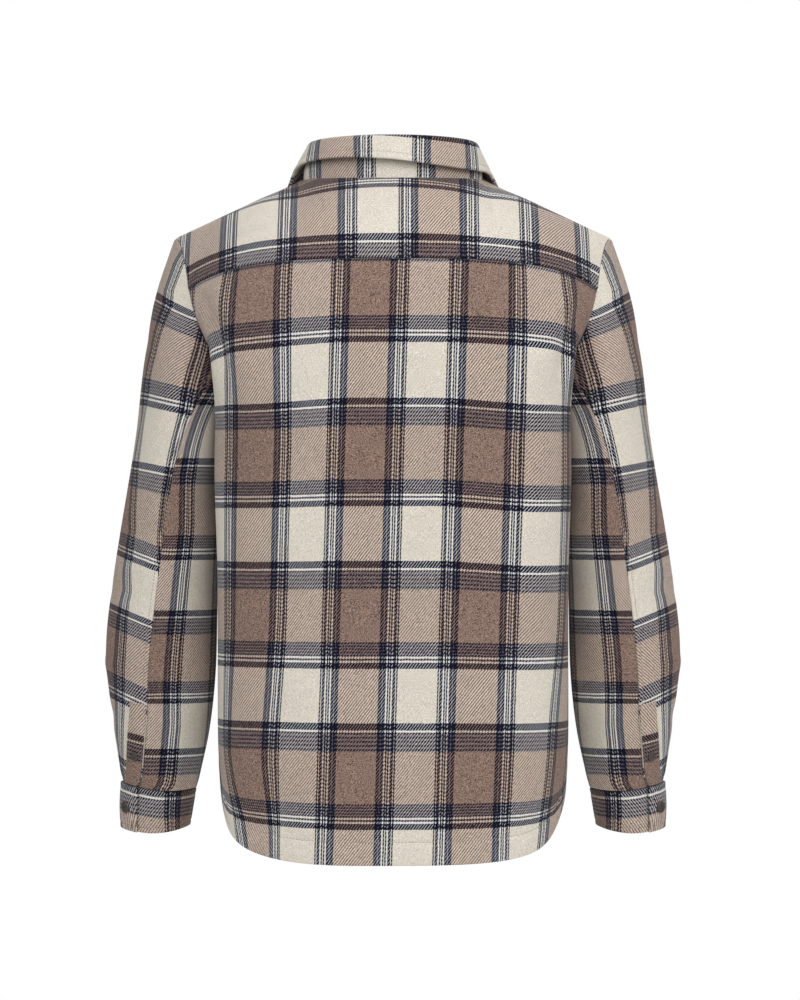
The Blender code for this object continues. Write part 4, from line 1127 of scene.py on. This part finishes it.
def woven_check(tree, place):
    """Colour of the woven threads, 1 where a weft thread is on top, and the height of its yarn.

    The threads are drawn at about 0.8 by 1.1 mm, a little coarser than the real ones, so that
    the rib shows.
    """
    flat = add(tree, "ShaderNodeUVMap", uv_map="cloth")
    wander = add(tree, "ShaderNodeTexNoise", {"Vector": place, "Scale": 1 / WANDER_SIZE, "Detail": 1.0})
    wandering = add(
        tree, "ShaderNodeVectorMath",
        {0: wander.outputs["Color"], 1: (WANDER, WANDER, 0.0), 2: flat}, operation="MULTIPLY_ADD",
    )
    widths = (WARP_REPEAT / REPEAT_THREADS, WEFT_REPEAT / REPEAT_THREADS, 1.0)
    threads = add(tree, "ShaderNodeVectorMath", {0: wandering, 1: widths}, operation="DIVIDE")
    whole = add(tree, "ShaderNodeVectorMath", {0: threads}, operation="FLOOR")
    centred = add(tree, "ShaderNodeVectorMath", {0: whole, 1: (0.5, 0.5, 0.5)}, operation="ADD")
    repeats = add(tree, "ShaderNodeVectorMath", {0: centred, 1: (REPEAT_THREADS,) * 3}, operation="DIVIDE")
    shares = add(tree, "ShaderNodeVectorMath", {0: repeats}, operation="FRACTION")
    warp_share, weft_share, _ = add(tree, "ShaderNodeSeparateXYZ", {0: shares}).outputs
    yarns = {yarn: yarn for yarn in VEIL_AND_SHADE_OVER_WARP}
    warp_colour, warp_navy = thread_colours(tree, WARP_THREADS, warp_share, yarns)
    weft_colour, weft_navy = thread_colours(tree, WEFT_THREADS, weft_share, yarns)
    veil_and_shade_over_warp = thread_colours(tree, WARP_THREADS, warp_share, VEIL_AND_SHADE_OVER_WARP)[0]
    veil_and_shade_over_weft = thread_colours(tree, WEFT_THREADS, weft_share, VEIL_AND_SHADE_OVER_WEFT)[0]
    # Twill, two over and two under: the brushed navy yarns spread over their neighbours
    warp_place, weft_place, _ = add(tree, "ShaderNodeSeparateXYZ", {0: threads}).outputs
    diagonal = add(tree, "ShaderNodeMath", {0: warp_place, 1: weft_place}, operation="ADD")
    ahead = add(tree, "ShaderNodeMath", {0: diagonal, 1: 1.0}, operation="ADD")
    step = add(tree, "ShaderNodeMath", {0: ahead, 1: 2.0}, operation="PINGPONG")
    navy = add(tree, "ShaderNodeMath", {0: weft_navy, 1: warp_navy}, operation="SUBTRACT")
    reach = add(tree, "ShaderNodeMath", {0: navy, 1: NAVY_SPREAD, 2: 1.0}, operation="MULTIPLY_ADD")
    inside = add(tree, "ShaderNodeMath", {0: reach, 1: step}, operation="SUBTRACT")
    weft_up = add(
        tree, "ShaderNodeMapRange", {"Value": inside, 1: -YARN_EDGE / 2, 2: YARN_EDGE / 2},
    )
    # Each yarn darkened by the yarn that crosses it: partly the veil of a darker nap, partly painted shade
    # on pale yarns among darker ones
    veiled_and_shaded = [
        add(
            tree, "ShaderNodeMix", {0: 1.0, 6: yarn, 7: veil_and_shade}, data_type="RGBA", blend_type="DARKEN",
        ).outputs[2]
        for yarn, veil_and_shade in ((warp_colour, veil_and_shade_over_weft), (weft_colour, veil_and_shade_over_warp))
    ]
    woven = add(tree, "ShaderNodeMix", {0: weft_up, 6: veiled_and_shaded[0], 7: veiled_and_shaded[1]}, data_type="RGBA").outputs[2]
    # Height of each yarn, round over its width: relief for the bump, and also the painted highlight on its
    # crown and painted shade at its sides
    parts = add(tree, "ShaderNodeVectorMath", {0: threads}, operation="FRACTION")
    beside = add(tree, "ShaderNodeVectorMath", {0: parts, 1: (0.5, 0.5, 0.5)}, operation="SUBTRACT")
    squared = add(tree, "ShaderNodeVectorMath", {0: beside, 1: beside}, operation="MULTIPLY")
    rounds = add(tree, "ShaderNodeVectorMath", {0: squared, "Scale": -4.0}, operation="SCALE")
    warp_round, weft_round, _ = add(tree, "ShaderNodeSeparateXYZ", {0: rounds}).outputs
    yarn = add(tree, "ShaderNodeMix", {0: weft_up, 2: warp_round, 3: weft_round})
    return woven, weft_up, yarn


def brushed_twill():
    """Wool twill, yarn-dyed and brushed: matt, with a short pale nap over the diagonal rib, and painted
    highlight and shade on its yarns.
    """
    material, tree, shader = new_material(
        "brushed_wool_twill", Roughness=0.95, Sheen_Weight=0.11, Sheen_Roughness=0.55,
        Specular_IOR_Level=0.12,
    )
    place = add(tree, "ShaderNodeTexCoord").outputs["Object"]
    woven, weft_up, yarn = woven_check(tree, place)
    # The brown yarn is spun from mixed fibres, the cream one is nearly even
    paleness = add(tree, "ShaderNodeRGBToBW", {0: woven})
    mixed = add(tree, "ShaderNodeMapRange", {"Value": paleness, 1: 0.12, 2: 0.6, 3: 4.6, 4: 1.2})
    fibres = add(tree, "ShaderNodeTexNoise", {"Vector": place, "Scale": 1 / FIBRE_SIZE, "Detail": 2.0})
    nap = add(tree, "ShaderNodeTexNoise", {"Vector": place, "Scale": 1 / NAP_SIZE, "Detail": 3.0})
    mottle = add(tree, "ShaderNodeTexNoise", {"Vector": place, "Scale": 1 / MOTTLE_SIZE, "Detail": 2.0})
    # Painted light on the yarns: each crown painted lighter and its sides painted in shade, and weft floats
    # painted lighter than warp floats, painted shade along the twill rib
    tone = add(tree, "ShaderNodeMath", {0: yarn, 1: 0.08, 2: 1.0}, operation="MULTIPLY_ADD")
    tone = add(tree, "ShaderNodeMath", {0: weft_up, 1: 0.06, 2: tone}, operation="MULTIPLY_ADD")
    for noise, amount in ((fibres, mixed), (nap, 0.30), (mottle, 0.12)):
        change = add(tree, "ShaderNodeMath", {0: noise, 1: 0.5}, operation="SUBTRACT")
        tone = add(tree, "ShaderNodeMath", {0: change, 1: amount, 2: tone}, operation="MULTIPLY_ADD")
    colour = add(tree, "ShaderNodeVectorMath", {0: woven, "Scale": tone}, operation="SCALE")
    tree.links.new(colour.outputs[0], shader.inputs["Base Color"])
    relief = add(tree, "ShaderNodeMath", {0: nap, 1: 0.8, 2: yarn}, operation="MULTIPLY_ADD")
    bump = add(tree, "ShaderNodeBump", {"Height": relief, "Strength": 0.35, "Distance": 0.0003})
    tree.links.new(bump.outputs[0], shader.inputs["Normal"])
    return material


def lining_twill():
    """Plain polyester lining twill: a fine diagonal and a soft gloss."""
    material, tree, shader = new_material(
        "polyester_lining_twill", Sheen_Weight=0.1, Specular_IOR_Level=0.35,
    )
    flat = add(tree, "ShaderNodeUVMap", uv_map="cloth")
    turned = add(tree, "ShaderNodeMapping", {"Vector": flat, "Rotation": (0, 0, math.radians(60))})
    rib = add(
        tree, "ShaderNodeTexWave",
        {"Vector": turned, "Scale": WAVE_LENGTH / LINING_RIB, "Distortion": 0.6},
    ).outputs["Fac"]
    cloud = add(tree, "ShaderNodeTexNoise", {"Vector": flat, "Scale": 1 / LINING_CLOUD, "Detail": 3.0})
    tone = add(tree, "ShaderNodeMath", {0: rib, 1: 0.12, 2: cloud}, operation="MULTIPLY_ADD")
    ramp = add(tree, "ShaderNodeValToRGB", {0: tone})
    ramp.color_ramp.elements[0].position, ramp.color_ramp.elements[1].position = 0.35, 0.75
    ramp.color_ramp.elements[0].color = linear("#4b4039")
    ramp.color_ramp.elements[1].color = linear("#5d5047")
    tree.links.new(ramp.outputs[0], shader.inputs["Base Color"])
    rough = add(tree, "ShaderNodeMath", {0: cloud, 1: 0.2, 2: 0.42}, operation="MULTIPLY_ADD")
    tree.links.new(rough.outputs[0], shader.inputs["Roughness"])
    bump = add(tree, "ShaderNodeBump", {"Height": rib, "Strength": 0.2, "Distance": 0.0001})
    tree.links.new(bump.outputs[0], shader.inputs["Normal"])
    return material


def sewing_thread():
    """Spun polyester thread: dull and twisted, with painted highlights on the crowns of its twist."""
    material, tree, shader = new_material("spun_polyester_thread", Roughness=0.8, Sheen_Weight=0.2)
    place = add(tree, "ShaderNodeTexCoord").outputs["Object"]
    twist_highlight = add(
        tree, "ShaderNodeTexWave",
        {"Vector": place, "Scale": WAVE_LENGTH / THREAD_TWIST, "Distortion": 1.5},
    )
    # Painted highlight: paler on the crowns of the twist, darker between them
    ramp = add(tree, "ShaderNodeValToRGB", {0: twist_highlight.outputs["Fac"]})
    ramp.color_ramp.elements[0].color = linear("#7d6f64")
    ramp.color_ramp.elements[1].color = linear("#9c8e82")
    tree.links.new(ramp.outputs[0], shader.inputs["Base Color"])
    return material


def burnished_metal():
    """Brass cap with a dark burnished plating: dull gunmetal, paler in small random clouds."""
    material, tree, shader = new_material("burnished_plated_brass", Metallic=0.85)
    place = add(tree, "ShaderNodeTexCoord").outputs["Object"]
    cloud = add(tree, "ShaderNodeTexNoise", {"Vector": place, "Scale": 1 / METAL_CLOUD, "Detail": 4.0})
    ramp = add(tree, "ShaderNodeValToRGB", {0: cloud})
    ramp.color_ramp.elements[0].position, ramp.color_ramp.elements[1].position = 0.3, 0.75
    ramp.color_ramp.elements[0].color = linear("#57504b")
    ramp.color_ramp.elements[1].color = linear("#78706a")
    tree.links.new(ramp.outputs[0], shader.inputs["Base Color"])
    rough = add(tree, "ShaderNodeMath", {0: cloud, 1: 0.25, 2: 0.32}, operation="MULTIPLY_ADD")
    tree.links.new(rough.outputs[0], shader.inputs["Roughness"])
    bump = add(tree, "ShaderNodeBump", {"Height": cloud, "Strength": 0.1, "Distance": 0.0001})
    tree.links.new(bump.outputs[0], shader.inputs["Normal"])
    return material


# Sewing


def stitch_tree():
    """Geometry nodes that lay one stitch after another along every line of a mesh."""
    tree = bpy.data.node_groups.new("rows_of_stitches", "GeometryNodeTree")
    face = tree.interface
    face.new_socket("Geometry", in_out="INPUT", socket_type="NodeSocketGeometry")
    for name in ("Stitch Pitch", "Stitch Length", "Thread Width"):
        face.new_socket(name, in_out="INPUT", socket_type="NodeSocketFloat")
    face.new_socket("Seed", in_out="INPUT", socket_type="NodeSocketInt")
    face.new_socket("Thread", in_out="INPUT", socket_type="NodeSocketMaterial")
    face.new_socket("Geometry", in_out="OUTPUT", socket_type="NodeSocketGeometry")
    given = add(tree, "NodeGroupInput").outputs
    curve = add(tree, "GeometryNodeMeshToCurve", {"Mesh": given["Geometry"]})
    points = add(
        tree, "GeometryNodeCurveToPoints",
        {"Curve": curve, "Length": given["Stitch Pitch"]}, mode="LENGTH",
    )
    thread = add(tree, "GeometryNodeMeshIcoSphere", {"Radius": 0.5, "Subdivisions": 2})
    uneven = add(
        tree, "FunctionNodeRandomValue", {2: 0.86, 3: 1.06, "Seed": given["Seed"]}, data_type="FLOAT"
    )
    length = add(
        tree, "ShaderNodeMath", {0: given["Stitch Length"], 1: uneven.outputs[1]}, operation="MULTIPLY"
    )
    size = add(
        tree, "ShaderNodeCombineXYZ",
        {0: given["Thread Width"], 1: given["Thread Width"], 2: length},
    )
    laid_out = add(
        tree, "GeometryNodeInstanceOnPoints",
        {
            "Points": points, "Instance": thread, "Rotation": points.outputs["Rotation"],
            "Scale": size,
        },
    )
    real = add(tree, "GeometryNodeRealizeInstances", {0: laid_out})
    smooth = add(tree, "GeometryNodeSetShadeSmooth", {0: real})
    finished = add(tree, "GeometryNodeSetMaterial", {"Geometry": smooth, "Material": given["Thread"]})
    add(tree, "NodeGroupOutput", {0: finished})
    return tree


def make_stitches(name, lines, tree, thread, seed):
    """Stitches along the lines, as one plain mesh."""
    points, edges = [], []
    for line in lines:
        start = len(points)
        points += line.tolist()
        edges += [(start + k, start + k + 1) for k in range(len(line) - 1)]
    mesh = bpy.data.meshes.new(name + "_lines")
    mesh.from_pydata(points, edges, [])
    guide = put_in_scene(name + "_lines", mesh)
    rows = guide.modifiers.new("stitches", "NODES")
    rows.node_group = tree
    values = {
        "Stitch Pitch": STITCH_PITCH, "Stitch Length": STITCH_LENGTH, "Thread Width": THREAD_WIDTH,
        "Seed": seed, "Thread": thread,
    }
    for item in tree.interface.items_tree:
        if item.in_out == "INPUT" and item.name in values:
            rows[item.identifier] = values[item.name]
    sewn = bpy.data.meshes.new_from_object(guide.evaluated_get(bpy.context.evaluated_depsgraph_get()))
    sewn.name = name
    bpy.data.objects.remove(guide)
    piece = put_in_scene(name, sewn)
    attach(piece, "root")
    return piece


# Press studs


# From the middle of a cap to its foot: radius and height, as shares of the stud's own
STUD_PROFILE = (
    (0.00, 0.94), (0.45, 0.97), (0.66, 1.00), (0.74, 0.97), (0.79, 0.90), (0.84, 0.93), (0.92, 0.90),
    (0.98, 0.74), (1.00, 0.50), (0.985, 0.20), (0.97, 0.0), (0.00, 0.0),
)
STUD_SIDES = 48
SLEEVES_FROM_X = 0.15
SLEEVE_MIDDLE = (0.258, 0.03)


def make_stud(node, metal):
    """Turned cap with a shallow ring, on the place and turn of its solid."""
    vertices = np.array([vertex.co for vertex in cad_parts[node].data.vertices])
    middle = vertices.mean(axis=0)
    axis = np.linalg.eigh(np.cov((vertices - middle).T))[1][:, 0]
    inside = np.zeros(2)
    if abs(middle[0]) > SLEEVES_FROM_X:
        inside = np.array([math.copysign(SLEEVE_MIDDLE[0], middle[0]), SLEEVE_MIDDLE[1]])
    axis = axis * math.copysign(1.0, float(axis[:2] @ (middle[:2] - inside)))
    heights = (vertices - middle) @ axis
    low, height = heights.min(), np.ptp(heights)
    radius = np.linalg.norm((vertices - middle) - np.outer(heights, axis), axis=1).max()
    side = unit(np.cross(axis, np.array([0.0, 0.0, 1.0])))
    up = np.cross(axis, side)
    cap = bmesh.new()
    rings = []
    for away, share in STUD_PROFILE:
        turns = np.linspace(0, 2 * math.pi, STUD_SIDES, endpoint=False) if away > 0 else [0.0]
        ring = []
        for turn in turns:
            flat = (side * math.cos(turn) + up * math.sin(turn)) * away * radius
            ring.append(cap.verts.new(middle + flat + axis * (low + share * height)))
        rings.append(ring)
    for first, second in zip(rings, rings[1:]):
        for k in range(STUD_SIDES):
            nearby = (k, (k + 1) % STUD_SIDES)
            corners = [first[j % len(first)] for j in nearby]
            corners += [second[j % len(second)] for j in nearby[::-1]]
            cap.faces.new(list(dict.fromkeys(corners)))
    bmesh.ops.recalc_face_normals(cap, faces=cap.faces[:])
    mesh = bpy.data.meshes.new(node + "_cap")
    cap.to_mesh(mesh)
    cap.free()
    mesh.polygons.foreach_set("use_smooth", np.ones(len(mesh.polygons), bool))
    mesh.materials.append(metal)
    piece = put_in_scene(node + "_cap", mesh)
    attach(piece, "root")
    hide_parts(node)


# Studio

CAMERA_DISTANCE = 5.0
VIEW_HEIGHT = 1.1
SENSOR = 36.0
CAMERA_X, CAMERA_Z = 0.0077, -0.319
FLOOR_Z = -1.45
FLOOR_RADIUS = 2.0
FLOOR_SIDES = 96
FLOOR_GRAIN = 0.025
# Light of the room, by the height of the direction it comes from
ROOM_HEIGHTS = (-0.6, 0.8)
ROOM_LIGHT = (0.12, 0.55)
# Name, place, point aimed at, width, watts
LAMPS = (
    ("soft_box_left", (-2.0, -1.9, 1.4), (0.0, 0.0, -0.2), 1.4, 25.0),
    ("soft_box_right", (2.0, -1.9, 1.4), (0.0, 0.0, -0.2), 1.4, 38.0),
    ("soft_box_front", (0.3, -3.4, 0.6), (0.0, 0.0, 0.0), 1.8, 32.0),
    ("behind", (0.0, 2.6, 1.0), (0.0, 0.0, -0.2), 2.0, 42.0),
)


def place_camera(scene):
    camera = bpy.data.cameras.new("camera")
    camera.sensor_width = SENSOR
    camera.lens = SENSOR * CAMERA_DISTANCE / VIEW_HEIGHT
    view = bpy.data.objects.new("camera", camera)
    view.location = (CAMERA_X, -CAMERA_DISTANCE, CAMERA_Z)
    view.rotation_euler = (math.pi / 2, 0, 0)
    scene.collection.objects.link(view)
    scene.camera = view
    scene.view_settings.view_transform = "Standard"


def lay_floor():
    material, tree, shader = new_material("matt_studio_floor", Roughness=0.9)
    grain = add(tree, "ShaderNodeTexNoise", {"Scale": 1 / FLOOR_GRAIN})
    ramp = add(tree, "ShaderNodeValToRGB", {0: grain})
    ramp.color_ramp.elements[0].color = linear("#e2e2e0")
    ramp.color_ramp.elements[1].color = linear("#e8e8e6")
    tree.links.new(ramp.outputs[0], shader.inputs["Base Color"])
    mesh = bpy.data.meshes.new("floor")
    disc = bmesh.new()
    bmesh.ops.create_circle(disc, cap_ends=True, segments=FLOOR_SIDES, radius=FLOOR_RADIUS)
    disc.to_mesh(mesh)
    disc.free()
    mesh.materials.append(material)
    floor = put_in_scene("floor", mesh)
    floor.location.z = FLOOR_Z


def light_scene(scene):
    """Lamps in a room that the camera sees as white; as light it is stronger above than below."""
    world = bpy.data.worlds.new("studio_white")
    world.use_nodes = True
    scene.world = world
    tree = world.node_tree
    up = add(tree, "ShaderNodeSeparateXYZ", {0: add(tree, "ShaderNodeTexCoord").outputs["Generated"]})
    spans = dict(enumerate((*ROOM_HEIGHTS, *ROOM_LIGHT), start=1))
    room = add(tree, "ShaderNodeMapRange", {"Value": up.outputs[2], **spans})
    seen = add(tree, "ShaderNodeLightPath").outputs["Is Camera Ray"]
    strength = add(tree, "ShaderNodeMix", {0: seen, 2: room, 3: 1.0})
    back = tree.nodes["Background"]
    back.inputs["Color"].default_value = linear("#ffffff")
    tree.links.new(strength.outputs[0], back.inputs["Strength"])
    for name, place, aim, size, power in LAMPS:
        lamp = bpy.data.lights.new(name, "AREA")
        lamp.size = size
        lamp.energy = power
        light = bpy.data.objects.new(name, lamp)
        light.location = place
        light.rotation_euler = (Vector(aim) - Vector(place)).to_track_quat("-Z", "Y").to_euler()
        scene.collection.objects.link(light)


def main():
    wool, lining = brushed_twill(), lining_twill()
    thread, metal = sewing_thread(), burnished_metal()
    make_yoke(wool, lining)
    body_rows = make_back(wool, lining) + make_fronts(wool, lining)
    sleeve_rows = make_sleeves(wool, lining)
    collar_rows = make_collar(wool)
    tree = stitch_tree()
    sewing = (("body", body_rows, 3), ("sleeve", sleeve_rows, 5), ("collar", collar_rows, 7))
    for name, rows, seed in sewing:
        make_stitches(name + "_stitches", rows, tree, thread, seed)
    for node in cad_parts:
        if node.startswith("stud_"):
            make_stud(node, metal)
    scene = bpy.context.scene
    place_camera(scene)
    lay_floor()
    light_scene(scene)


main()
